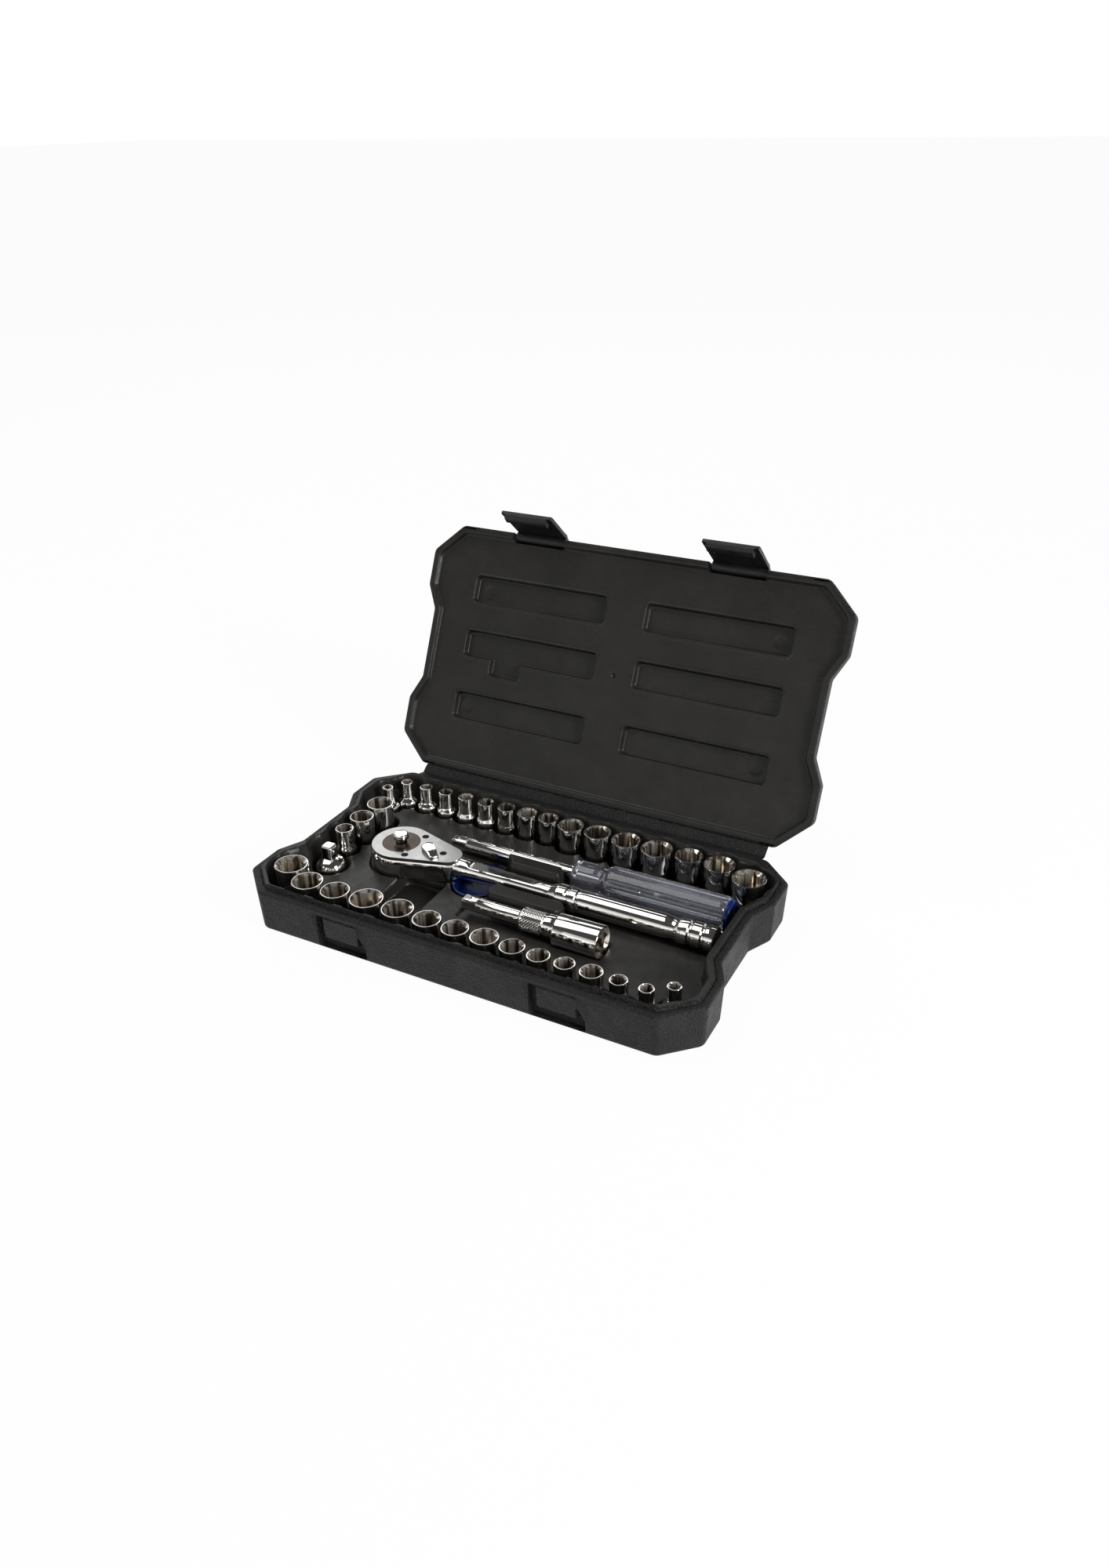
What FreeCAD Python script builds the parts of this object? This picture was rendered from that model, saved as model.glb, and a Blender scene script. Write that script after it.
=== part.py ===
import FreeCAD, Part
import math
import os

# Socket wrench set in a hinged moulded case, in millimetres.
# X runs along the case, Y to the hinge at the back, Z up from the base's underside.

# Case outline
case_length = 260.0
case_depth = 145.4
corner_cut_x = 17.5
corner_cut_y = 16.8
lobe_from_edge = 38.0
waist_from_edge = 51.8
waist_inset = 6.7
outline_radius = 5.0
wall_draft = 1.2
foot_round = 2.4

# Case heights
base_height = 24.3
rim_step = 2.0
rim_inset = 4.5
well_inset = 9.0
well_shift = -1.0
mid_floor = 13.0
pocket_floor = 2.4
lid_thickness = 12.0
lid_flange = 4.3
lid_recess = 3.0
bar_depth = 4.0
bar_near_x = 12.5
bar_end_inset = 31.2
bar_rows = [(31.5, 47.2), (69.3, 84.6), (102.0, 117.5)]
bar_radius = 2.0
button_tab_sides = (7.0, 13.0)
button_tab_reach = 11.2
panel_relief = 0.8
panel_margin = 22.0

# Hinge and latches
hinge_behind = 5.4
hinge_below = 2.3
lid_open_angle = 115.5
web_half_width = 109.0
web_thickness = 0.8
latch_x = 61.5
latch_width = 32.0
latch_plate = 2.2
latch_tip_z = 1.8
latch_hook_height = 5.6
latch_hook_reach = 3.2
latch_barrel_radius = 3.2
latch_pin_radius = 1.6
latch_pin_hold = 2.5
latch_rest_angle = 15.0
latch_pivot_above_rim = 6.0
latch_pivot_behind_wall = 1.7
catch_half_width = 10.5
catch_bottom = 8.0
catch_top = 20.0
catch_recess = 0.8
catch_panel_top = 21.0
hook_pocket_floor = 1.2
notch_height = 6.0
catch_pocket = 4.6
catch_groove = 4.0

# Clearances
running_gap = 0.3
pocket_gap = 0.5
seat_gap = 0.1
latch_gap = 0.4

# Sockets: size across flats of each mouth, from left to right or front to back
socket_height = 24.4
wall_per_size = 1.3
wall_extra = 1.2
small_square = 6.35
large_square = 9.53
large_square_from = 16.4
drive_end_diameter = 11.8
nose_length = 9.0
flare_length = 3.5
mouth_depth = 12.0
square_depth = 9.0
middle_bore_share = 0.3
back_sizes = [4, 4.5, 5, 5.5, 6, 6.35, 7, 7.94, 8, 10.3, 10.7, 11.5, 12.5, 10.7, 12, 13]
front_sizes = [13, 12, 11, 12.7, 12, 10.5, 10, 10.3, 9, 8, 7.14, 8, 6, 5, 4.5]
left_sizes = [7, 9.53, 10.7]
twelve_point = ["front_socket_12", "left_socket_02", "left_socket_03"]
back_row_insets = (24.2, 37.3)
front_row_insets = (36.9, 29.0)
back_corner_insets = [(17.4, 26.7), (18.8, 24.9)]
front_corner_insets = [(19.1, 26.3), (18.3, 21.6)]
left_first_y = -3.8
left_spacing = 2.5
lying_size = 12.5
lying_gap = 1.4
lying_y = -25.4
lying_z = 18.0

# Adaptor
adaptor_y = -21.0
adaptor_radius = 8.25
adaptor_skirt = 11.0
adaptor_stud = 8.0

# Extension bar
extension_y = -24.6
extension_z = 18.0
extension_start_x = -17.0
extension_square_length = 8.5
extension_shaft_end = 17.0
extension_end_x = 37.0
extension_shaft_radius = 4.0
extension_head_radius = 6.2
knurl_band = (18.5, 30.5)
knurl_count = 24
knurl_depth = 0.45

# Spinner handle
spinner_y = 25.0
spinner_z = 16.8
spinner_from_end = 76.0
spinner_square_length = 9.0
spinner_shaft_radius = 4.0
grip_start_x = 22.0
grip_from_end = 21.0
grip_radius = 10.0
grip_collar_radius = 8.3
grip_groove_radius = 7.4
grip_flutes = 6
grip_flute_radius = 5.0
grip_flute_depth = 1.3
tang_end_x = 62.0
tang_size = 5.4
cap_length = 2.6
cap_radius = 8.6

# Ratchet
ratchet_from_end = 57.0
ratchet_y = 1.5
ratchet_axis_z = 18.0
head_radius = 17.0
head_tail_x = 30.0
head_tail_radius = 8.6
head_bottom = 11.3
head_top = 22.3
plate_thickness = 2.0
plate_inset = 0.8
gear_radius = 10.6
gear_teeth = 36
tooth_depth = 0.8
gear_bottom = 13.4
gear_top = 21.9
gear_disc_radius = 10.2
hub_radius = 8.4
drive_bottom = 2.3
button_radius = 4.2
button_top = 30.0
button_head = 3.2
button_stem_radius = 2.9
button_stem_bottom = 14.0
button_bore_bottom = 10.5
lever_x = 17.3
lever_hub_radius = 3.6
lever_length = 10.5
lever_tip_width = 5.0
lever_angle = -38.0
lever_top = 26.9
lever_tip_thickness = 1.1
lever_scoop_radius = 9.0
lever_stem_radius = 2.0
chamber_floor = 13.4
chamber_half_width = 8.6
pawl_pin_x = 12.7
pawl_pin_radius = 0.8
pawl_half_length = 7.0
pawl_swing = 8.0
pawl_bottom = 14.0
pawl_top = 21.6
screw_spots = [(9.0, 10.4), (9.0, -10.4), (27.0, 0.0)]
screw_head_radius = 1.9
screw_head_depth = 1.1
screw_shank_radius = 1.1
screw_length = 5.0
ball_radius = 1.4
ball_stand_out = 0.6
handle_end_gap = 2.3
neck_profile = [
    (28.0, 7.0), (45.0, 5.6), (75.0, 4.8), (92.0, 4.8), (96.0, 5.8), (99.0, 6.6), (102.5, 6.6),
    (103.0, 6.0), (104.5, 6.0), (105.0, 6.6), (108.5, 6.6), (109.0, 6.0), (110.5, 6.3)]
butt_profile = [
    (26.0, 6.3), (22.5, 5.4), (19.5, 6.2), (19.0, 6.7), (14.0, 6.7), (13.5, 6.0), (12.5, 6.0),
    (12.0, 6.7), (7.0, 6.7), (6.5, 6.0), (5.5, 6.0), (5.0, 6.7), (1.0, 6.7), (0.0, 5.8)]
neck_flat = (42.0, 88.0)
neck_flat_height = 4.0

# Tray: plan boxes are measured from the ratchet head's centre
front_island_top = 21.5
back_island_top = 23.8
island_radius = 5.0
front_island = (64.0, 106.0, -19.0, -7.8)
back_island = (58.0, 92.5, 7.8, 19.0)
grip_well = (9.0, 34.0, -44.0, -9.0)
grip_well_floor = 5.0
finger_bowl = (36.0, 62.0, -15.5, 17.0)
bowl_floor = 6.0
bowl_wall = 1.0
trough_end_gap = 1.2
trough_side_gap = 0.7
cut_top = 40.0

half_length = case_length / 2
half_depth = case_depth / 2
lobe_y = half_depth - lobe_from_edge
waist_y = half_depth - waist_from_edge
bar_far_x = half_length - bar_end_inset
hinge_y = half_depth + hinge_behind
hinge_z = base_height - hinge_below
lying_start_x = extension_end_x + lying_gap
spinner_start_x = -half_length + spinner_from_end
grip_end_x = half_length - grip_from_end
ratchet_x = -half_length + ratchet_from_end
handle_end_x = half_length - waist_inset - well_inset - handle_end_gap - ratchet_x
handle_profile = neck_profile + [(handle_end_x - back, radius) for back, radius in butt_profile]
handle_radius = max(radius for along, radius in butt_profile)
neck_trough = (
    ratchet_y - handle_radius - trough_side_gap, ratchet_y + handle_radius + trough_side_gap,
    ratchet_axis_z - handle_radius - running_gap, cut_top)
back_row_ends = (-half_length + back_row_insets[0], half_length - back_row_insets[1])
front_row_ends = (-half_length + front_row_insets[0], half_length - front_row_insets[1])
rim_z = base_height + rim_step
panel_z = base_height + lid_recess
lid_top = base_height + lid_thickness
plate_top = head_top + plate_thickness
latch_pivot = (-half_depth + latch_pivot_behind_wall, base_height + latch_pivot_above_rim)


def vec(x, y, z):
    return FreeCAD.Vector(x, y, z)


def box(x0, x1, y0, y1, z0, z1):
    return Part.makeBox(x1 - x0, y1 - y0, z1 - z0, vec(x0, y0, z0))


def post(radius, x, y, z0, z1):
    return Part.makeCylinder(radius, z1 - z0, vec(x, y, z0))


def rod(radius, x0, x1, y, z):
    return Part.makeCylinder(radius, x1 - x0, vec(x0, y, z), vec(1, 0, 0))


def prism(wire, height):
    return Part.Face(wire).extrude(vec(0, 0, height))


def cut(shape, tools):
    return shape.cut(Part.makeCompound(tools)).removeSplitter()


def join(shapes):
    solid = shapes[0].multiFuse(shapes[1:]).removeSplitter()
    return solid.Solids[0] if len(solid.Solids) == 1 else solid


def loop(points, z):
    corners = [vec(x, y, z) for x, y in points]
    return Part.makePolygon(corners + corners[:1])


def rounded_loop(points, radius, z):
    """Closed loop of straight sides whose corners are arcs of one radius."""
    edges = []
    starts = []
    ends = []
    count = len(points)
    mids = []
    for i in range(count):
        before = vec(*points[i - 1], z)
        here = vec(*points[i], z)
        after = vec(*points[(i + 1) % count], z)
        into = (before - here).normalize()
        out = (after - here).normalize()
        half = math.acos(max(-1.0, min(1.0, into.dot(out)))) / 2
        reach = radius / math.tan(half)
        starts.append(here + into * reach)
        ends.append(here + out * reach)
        toward = (into + out).normalize()
        mids.append(here + toward * (radius / math.sin(half) - radius))
    for i in range(count):
        edges.append(Part.Arc(starts[i], mids[i], ends[i]).toShape())
        edges.append(Part.makeLine(ends[i], starts[(i + 1) % count]))
    return Part.Wire(edges)


def oblong(x0, x1, y0, y1, radius, z0, z1):
    corners = [(x0, y0), (x1, y0), (x1, y1), (x0, y1)]
    return prism(rounded_loop(corners, radius, z0), z1 - z0)


def case_points(inset):
    """Corners of the case outline, each side moved in by the inset."""
    quarter = [
        (half_length - waist_inset, waist_y),
        (half_length, lobe_y),
        (half_length, half_depth - corner_cut_y),
        (half_length - corner_cut_x, half_depth)]
    right = [(x, -y) for x, y in reversed(quarter)] + quarter
    left = [(-x, -y) for x, y in right]
    points = right + left
    moved = []
    count = len(points)
    for i in range(count):
        ax, ay = points[i - 1]
        bx, by = points[i]
        cx, cy = points[(i + 1) % count]
        first = math.atan2(by - ay, bx - ax)
        second = math.atan2(cy - by, cx - bx)
        half_turn = (second - first) / 2
        half_turn = math.atan2(math.sin(half_turn), math.cos(half_turn))
        middle = first + half_turn + math.pi / 2
        reach = inset / math.cos(half_turn)
        moved.append((bx + reach * math.cos(middle), by + reach * math.sin(middle)))
    return moved


def case_loop(inset, z, shift=0.0):
    points = [(x, y + shift) for x, y in case_points(inset)]
    return rounded_loop(points, outline_radius, z)


def case_stack(sections):
    """Solid through outline sections, each an inset and a height."""
    solids = []
    for lower, upper in zip(sections, sections[1:]):
        loops = [case_loop(*lower), case_loop(*upper)]
        solids.append(Part.makeLoft(loops, True, True))
    return join(solids)


def polygon_points(count, radius, turn):
    points = []
    for i in range(count):
        angle = turn + 2 * math.pi * i / count
        points.append((radius * math.cos(angle), radius * math.sin(angle)))
    return points


def hex_points(size):
    return polygon_points(6, size / math.sqrt(3), 0.0)


def twelve_points(size):
    """Outline of two hexagons, one turned by 30 degrees."""
    outer = polygon_points(12, size / math.sqrt(3), 0.0)
    inner = polygon_points(12, size / 2 / math.cos(math.pi / 12), math.pi / 12)
    return [point for pair in zip(outer, inner) for point in pair]


def square_bar(size, x0, x1, y, z):
    half = size / 2
    return box(x0, x1, y - half, y + half, z - half, z + half)


def turned(profile, start, direction):
    """Solid of revolution from distance and radius pairs, starting at a point."""
    points = [vec(0, 0, profile[0][0])]
    points += [vec(radius, 0, along) for along, radius in profile]
    points.append(vec(0, 0, profile[-1][0]))
    face = Part.Face(Part.makePolygon(points + points[:1]))
    solid = face.revolve(vec(0, 0, 0), vec(0, 0, 1), 360)
    turn = FreeCAD.Rotation(vec(0, 0, 1), direction)
    solid.Placement = FreeCAD.Placement(start, turn)
    return solid


# Sockets

def socket_diameter(size):
    return size * wall_per_size + wall_extra


def foot_diameter(size):
    return max(socket_diameter(size), drive_end_diameter)


def socket_square(size):
    return large_square if socket_diameter(size) >= large_square_from else small_square


def socket_solid(size, twelve):
    """Socket standing on its drive end at the origin, mouth up."""
    nose = socket_diameter(size) / 2
    foot = foot_diameter(size) / 2
    profile = [(0, foot), (socket_height, foot)]
    if nose < foot:
        shoulder = socket_height - nose_length
        profile = [(0, foot), (shoulder - flare_length, foot), (shoulder, nose), (socket_height, nose)]
    body = turned(profile, vec(0, 0, 0), vec(0, 0, 1))
    square = socket_square(size)
    points = twelve_points(size) if twelve else hex_points(size)
    mouth = prism(loop(points, socket_height - mouth_depth), mouth_depth)
    half = square / 2
    drive = box(-half, half, -half, half, 0, square_depth)
    bore = post(middle_bore_share * min(size, square), 0, 0, square_depth, socket_height - mouth_depth)
    return cut(body, [mouth, drive, bore])


def row_spots(sizes, ends, wall_y, side):
    """Centres of a row: even gaps along X, and every foot the same gap from the wall."""
    feet = [foot_diameter(size) for size in sizes]
    span = ends[1] - ends[0]
    gap = (span - sum(feet) + feet[0] / 2 + feet[-1] / 2) / (len(feet) - 1)
    spots = []
    x = ends[0]
    for i in range(len(feet)):
        if i > 0:
            x += feet[i - 1] / 2 + gap + feet[i] / 2
        spots.append((x, wall_y + side * (pocket_gap + feet[i] / 2)))
    return spots


front_wall_y = -(half_depth - well_inset) + well_shift
back_wall_y = half_depth - well_inset + well_shift
waist_wall_x = -(half_length - waist_inset - well_inset)


def socket_plan():
    """Name, size and standing place of every upright socket."""
    plan = []
    back = row_spots(back_sizes[1:-1], back_row_ends, back_wall_y, -1)
    front = row_spots(front_sizes[1:-1], front_row_ends, front_wall_y, 1)
    for row, insets, side in [(back, back_corner_insets, 1), (front, front_corner_insets, -1)]:
        first, last = insets
        row.insert(0, (-half_length + first[0], side * (half_depth - first[1])))
        row.append((half_length - last[0], side * (half_depth - last[1])))
    left = []
    y = left_first_y
    for i in range(len(left_sizes)):
        radius = foot_diameter(left_sizes[i]) / 2
        if i > 0:
            y += foot_diameter(left_sizes[i - 1]) / 2 + left_spacing + radius
        left.append((waist_wall_x + 2 * pocket_gap + radius, y))
    rows = [("back", back_sizes, back), ("front", front_sizes, front), ("left", left_sizes, left)]
    for row, sizes, spots in rows:
        for i in range(len(sizes)):
            plan.append(("%s_socket_%02d" % (row, i + 1), sizes[i], spots[i]))
    return plan


def upright_sockets():
    shapes = {}
    for name, size, spot in socket_plan():
        solid = socket_solid(size, name in twelve_point)
        solid.translate(vec(spot[0], spot[1], pocket_floor))
        shapes[name] = solid
    return shapes


def lying_socket():
    solid = socket_solid(lying_size, False)
    solid.Placement = FreeCAD.Placement(
        vec(lying_start_x, lying_y, lying_z), FreeCAD.Rotation(vec(0, 0, 1), vec(1, 0, 0)))
    return solid


# Adaptor, extension bar and spinner handle

adaptor_x = waist_wall_x + pocket_gap + adaptor_radius
adaptor_top = pocket_floor + adaptor_skirt + adaptor_radius * 0.55 + adaptor_stud


def detent(x, y, z, size, out):
    """Ball and its drilled seat in one face of a drive square."""
    centre = vec(x, y, z) + out * (size / 2 + ball_stand_out - ball_radius)
    seat = Part.makeSphere(ball_radius + seat_gap, centre)
    drilled = Part.makeCylinder(ball_radius + seat_gap, size / 2, centre, out)
    return Part.makeSphere(ball_radius, centre), join([seat, drilled])


def adaptor():
    shoulder = adaptor_skirt + adaptor_radius * 0.55
    profile = [
        (0, adaptor_radius), (adaptor_skirt, adaptor_radius), (adaptor_skirt + 2.2, adaptor_radius - 0.9),
        (adaptor_skirt + 3.8, adaptor_radius - 2.6), (shoulder, small_square / 2 * 1.05)]
    body = turned(profile, vec(adaptor_x, adaptor_y, pocket_floor), vec(0, 0, 1))
    half = small_square / 2
    stud = box(
        adaptor_x - half, adaptor_x + half, adaptor_y - half, adaptor_y + half,
        pocket_floor + adaptor_skirt, adaptor_top)
    wide = large_square / 2
    drive = box(
        adaptor_x - wide, adaptor_x + wide, adaptor_y - wide, adaptor_y + wide,
        pocket_floor, pocket_floor + adaptor_skirt - 1.0)
    ball, seat = detent(adaptor_x, adaptor_y, adaptor_top - 3.6, small_square, vec(1, 0, 0))
    return cut(join([body, stud]), [drive, seat]), ball


def extension_bar():
    square_end = extension_start_x + extension_square_length
    square = square_bar(small_square, extension_start_x, square_end, extension_y, extension_z)
    profile = [
        (square_end, extension_shaft_radius), (extension_shaft_end, extension_shaft_radius),
        (knurl_band[0], extension_head_radius), (extension_end_x, extension_head_radius)]
    shaft = turned(profile, vec(0, extension_y, extension_z), vec(1, 0, 0))
    female = square_bar(
        small_square, extension_end_x - square_depth, extension_end_x, extension_y, extension_z)
    grooves = []
    for i in range(knurl_count):
        angle = 2 * math.pi * i / knurl_count
        reach = extension_head_radius + knurl_depth * 0.1
        y = extension_y + reach * math.cos(angle)
        z = extension_z + reach * math.sin(angle)
        groove = box(0, knurl_band[1] - knurl_band[0], -knurl_depth, knurl_depth, -knurl_depth, knurl_depth)
        turn = FreeCAD.Rotation(vec(1, 0, 0), math.degrees(angle) + 45)
        groove.Placement = FreeCAD.Placement(vec(knurl_band[0], y, z), turn)
        grooves.append(groove)
    ball, seat = detent(
        extension_start_x + 3.8, extension_y, extension_z, small_square, vec(0, 0, 1))
    return cut(join([square, shaft]), grooves + [female, seat]), ball


def spinner_shaft():
    square_end = spinner_start_x + spinner_square_length
    square = square_bar(small_square, spinner_start_x, square_end, spinner_y, spinner_z)
    shaft = rod(spinner_shaft_radius, square_end, grip_start_x + 3.0, spinner_y, spinner_z)
    tang = square_bar(tang_size, grip_start_x + 3.0, tang_end_x, spinner_y, spinner_z)
    ball, seat = detent(spinner_start_x + 3.8, spinner_y, spinner_z, small_square, vec(0, 0, 1))
    return cut(join([square, shaft, tang]), [seat]), ball


def spinner_grip():
    x = grip_start_x
    profile = [
        (x, grip_collar_radius - 1.2), (x + 1.5, grip_collar_radius), (x + 12.0, grip_collar_radius),
        (x + 15.0, grip_groove_radius), (x + 17.0, grip_groove_radius), (x + 22.0, grip_radius),
        (grip_end_x - 2.0, grip_radius), (grip_end_x, grip_radius - 1.5)]
    body = turned(profile, vec(0, spinner_y, spinner_z), vec(1, 0, 0))
    tools = []
    reach = grip_radius + grip_flute_radius - grip_flute_depth
    for i in range(grip_flutes):
        angle = 2 * math.pi * (i + 0.5) / grip_flutes
        y = spinner_y + reach * math.cos(angle)
        z = spinner_z + reach * math.sin(angle)
        tools.append(rod(grip_flute_radius, x + 20.0, grip_end_x, y, z))
    tools.append(rod(spinner_shaft_radius + seat_gap, x, x + 3.0 + seat_gap, spinner_y, spinner_z))
    tools.append(square_bar(tang_size + 2 * seat_gap, x, tang_end_x + seat_gap, spinner_y, spinner_z))
    return cut(body, tools)


def spinner_cap():
    profile = [(0, cap_radius), (cap_length - 1.0, cap_radius), (cap_length, cap_radius - 1.4)]
    return turned(profile, vec(grip_end_x, spinner_y, spinner_z), vec(1, 0, 0))


# Ratchet, built about its head's centre and then moved into the tray

def pear_loop(inset, z):
    """Head outline: two circles joined by their outer tangents."""
    big = head_radius - inset
    small = head_tail_radius - inset
    lean = math.asin((big - small) / head_tail_x)
    side = math.pi / 2 - lean
    upper_big = vec(big * math.cos(side), big * math.sin(side), z)
    lower_big = vec(upper_big.x, -upper_big.y, z)
    upper_small = vec(head_tail_x + small * math.cos(side), small * math.sin(side), z)
    lower_small = vec(upper_small.x, -upper_small.y, z)
    return Part.Wire([
        Part.Arc(upper_big, vec(-big, 0, z), lower_big).toShape(),
        Part.makeLine(lower_big, lower_small),
        Part.Arc(lower_small, vec(head_tail_x + small, 0, z), upper_small).toShape(),
        Part.makeLine(upper_small, upper_big)])


def gear_points(growth, turn):
    """Tooth outline, grown by a clearance when it is used as a cutter."""
    outer = gear_radius + growth
    inner = gear_radius - tooth_depth + growth
    points = []
    for i in range(gear_teeth):
        middle = turn + 2 * math.pi * i / gear_teeth
        half = math.pi / gear_teeth
        points.append((inner * math.cos(middle - half), inner * math.sin(middle - half)))
        points.append((outer * math.cos(middle), outer * math.sin(middle)))
    return points


def ratchet_body():
    z = ratchet_axis_z
    head = prism(pear_loop(0.0, head_bottom), head_top - head_bottom)
    handle = turned(handle_profile, vec(0, 0, z), vec(1, 0, 0))
    over_head = box(0, head_tail_x + head_tail_radius, -20, 20, head_top, head_top + 10)
    flats = [
        box(neck_flat[0], neck_flat[1], -20, 20, z + neck_flat_height, z + 20),
        box(neck_flat[0], neck_flat[1], -20, 20, z - 20, z - neck_flat_height)]
    bore = post(gear_radius + running_gap, 0, 0, gear_bottom - running_gap, head_top)
    hub_hole = post(hub_radius + running_gap, 0, 0, head_bottom, head_top)
    chamber = oblong(
        gear_radius - 3.0, lever_x + lever_stem_radius + 2.0, -chamber_half_width, chamber_half_width,
        2.0, chamber_floor, head_top)
    holes = []
    for x, y in screw_spots:
        holes.append(post(screw_shank_radius + seat_gap, x, y, head_top - screw_length, head_top))
    return cut(join([head, handle]), [over_head, bore, hub_hole, chamber] + flats + holes)


def cover_plate():
    plate = prism(pear_loop(plate_inset, head_top), plate_thickness)
    tools = [post(gear_disc_radius + running_gap, 0, 0, head_top, plate_top)]
    tools.append(post(lever_stem_radius + running_gap, lever_x, 0, head_top, plate_top))
    for x, y in screw_spots:
        tools.append(post(screw_head_radius + seat_gap, x, y, plate_top - screw_head_depth, plate_top))
        tools.append(post(screw_shank_radius + seat_gap, x, y, head_top, plate_top))
    return cut(plate, tools)


def cover_screws():
    screws = []
    for x, y in screw_spots:
        head = post(screw_head_radius, x, y, plate_top - screw_head_depth, plate_top)
        shank = post(screw_shank_radius, x, y, head_top - screw_length + 0.5, plate_top - screw_head_depth)
        slot = box(x - 2, x + 2, y - 0.3, y + 0.3, plate_top - 0.5, plate_top)
        screws.append(cut(join([head, shank]), [slot]))
    return Part.makeCompound(screws)


def drive_gear():
    teeth = prism(loop(gear_points(0.0, 0.0), gear_bottom), gear_top - gear_bottom)
    disc = post(gear_disc_radius, 0, 0, gear_top, plate_top - seat_gap)
    hub = post(hub_radius, 0, 0, head_bottom, gear_bottom)
    half = large_square / 2
    square = box(-half, half, -half, half, drive_bottom, head_bottom)
    bore = post(button_stem_radius + running_gap, 0, 0, button_bore_bottom, plate_top)
    middle = (drive_bottom + head_bottom) / 2 - 1.0
    ball, seat = detent(0, 0, middle, large_square, vec(1, 0, 0))
    return cut(join([teeth, disc, hub, square]), [bore, seat]), ball


def release_button():
    profile = [
        (button_stem_bottom, button_stem_radius), (button_top - button_head, button_stem_radius),
        (button_top - button_head, button_radius), (button_top - 0.8, button_radius),
        (button_top, button_radius - 1.2)]
    return turned(profile, vec(0, 0, 0), vec(0, 0, 1))


def reverse_lever():
    """Thumb lever pointing along +X from its stem, with the stem reaching into the chamber."""
    z = plate_top + running_gap
    hub = post(lever_hub_radius, 0, 0, z, lever_top)
    half = lever_tip_width / 2
    points = [(0, -lever_hub_radius), (lever_length, -half), (lever_length, half), (0, lever_hub_radius)]
    arm = prism(loop(points, z), lever_top - z)
    scoop_z = z + lever_tip_thickness + lever_scoop_radius
    scoop = Part.makeCylinder(lever_scoop_radius, 30, vec(lever_length, -15, scoop_z), vec(0, 1, 0))
    stem = post(lever_stem_radius, 0, 0, pawl_bottom, z)
    return cut(join([hub, arm, stem]), [scoop])


def pawl():
    """Double-ended pawl, with teeth cut by the gear's own outline at both ends of its swing."""
    height = pawl_top - pawl_bottom
    back = lever_x - lever_stem_radius - 1.0
    points = [
        (gear_radius - 4.2, -pawl_half_length), (back, -pawl_half_length),
        (back, pawl_half_length), (gear_radius - 4.2, pawl_half_length)]
    blank = prism(rounded_loop(points, 0.8, pawl_bottom), height)
    tools = [post(lever_stem_radius + 1.2, lever_x, 0, pawl_bottom, pawl_top)]
    tools.append(post(pawl_pin_radius + running_gap, pawl_pin_x, 0, pawl_bottom, pawl_top))
    for turn in (0.0, pawl_swing):
        cutter = prism(loop(gear_points(running_gap, 0.0), pawl_bottom), height)
        cutter.rotate(vec(pawl_pin_x, 0, 0), vec(0, 0, 1), turn - pawl_swing / 2)
        tools.append(cutter)
    solid = cut(blank, tools)
    solid.rotate(vec(pawl_pin_x, 0, 0), vec(0, 0, 1), pawl_swing / 2)
    return solid.Solids[0]


def pawl_pin():
    return post(pawl_pin_radius, pawl_pin_x, 0, chamber_floor, head_top)


def ratchet_parts():
    gear, ball = drive_gear()
    lever = reverse_lever()
    lever.translate(vec(lever_x, 0, 0))
    lever.rotate(vec(lever_x, 0, 0), vec(0, 0, 1), lever_angle)
    shapes = {
        "ratchet_body": ratchet_body(),
        "ratchet_cover_plate": cover_plate(),
        "ratchet_cover_screws": cover_screws(),
        "ratchet_drive_gear": gear,
        "ratchet_drive_ball": ball,
        "ratchet_release_button": release_button(),
        "ratchet_reverse_lever": lever,
        "ratchet_pawl": pawl(),
        "ratchet_pawl_pin": pawl_pin()}
    for shape in shapes.values():
        shape.translate(vec(ratchet_x, ratchet_y, 0))
    return shapes


# Case

def latch_zone_cuts(x):
    """Shallow panel round one catch block, the hook's pocket under it, a groove and a notch beside it."""
    wall = -half_depth
    half = latch_width / 2 + 0.8
    hook_half = catch_half_width + catch_groove
    front = wall - 5
    back = wall + catch_pocket
    panel = box(x - half, x + half, front, wall + catch_recess, hook_pocket_floor, catch_panel_top)
    block = box(x - catch_half_width, x + catch_half_width, front, wall + 10, catch_bottom, catch_top)
    pocket = box(x - hook_half, x + hook_half, front, back, hook_pocket_floor, catch_bottom)
    groove = box(x - hook_half, x - catch_half_width, front, back, hook_pocket_floor, catch_top)
    side = x + catch_half_width
    corners = [(side, catch_bottom), (x + hook_half, catch_bottom), (side, catch_bottom + notch_height)]
    wire = Part.makePolygon([vec(a, front, b) for a, b in corners + corners[:1]])
    notch = Part.Face(wire).extrude(vec(0, back - front, 0))
    return join([panel.cut(block), pocket, groove, notch])


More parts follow.
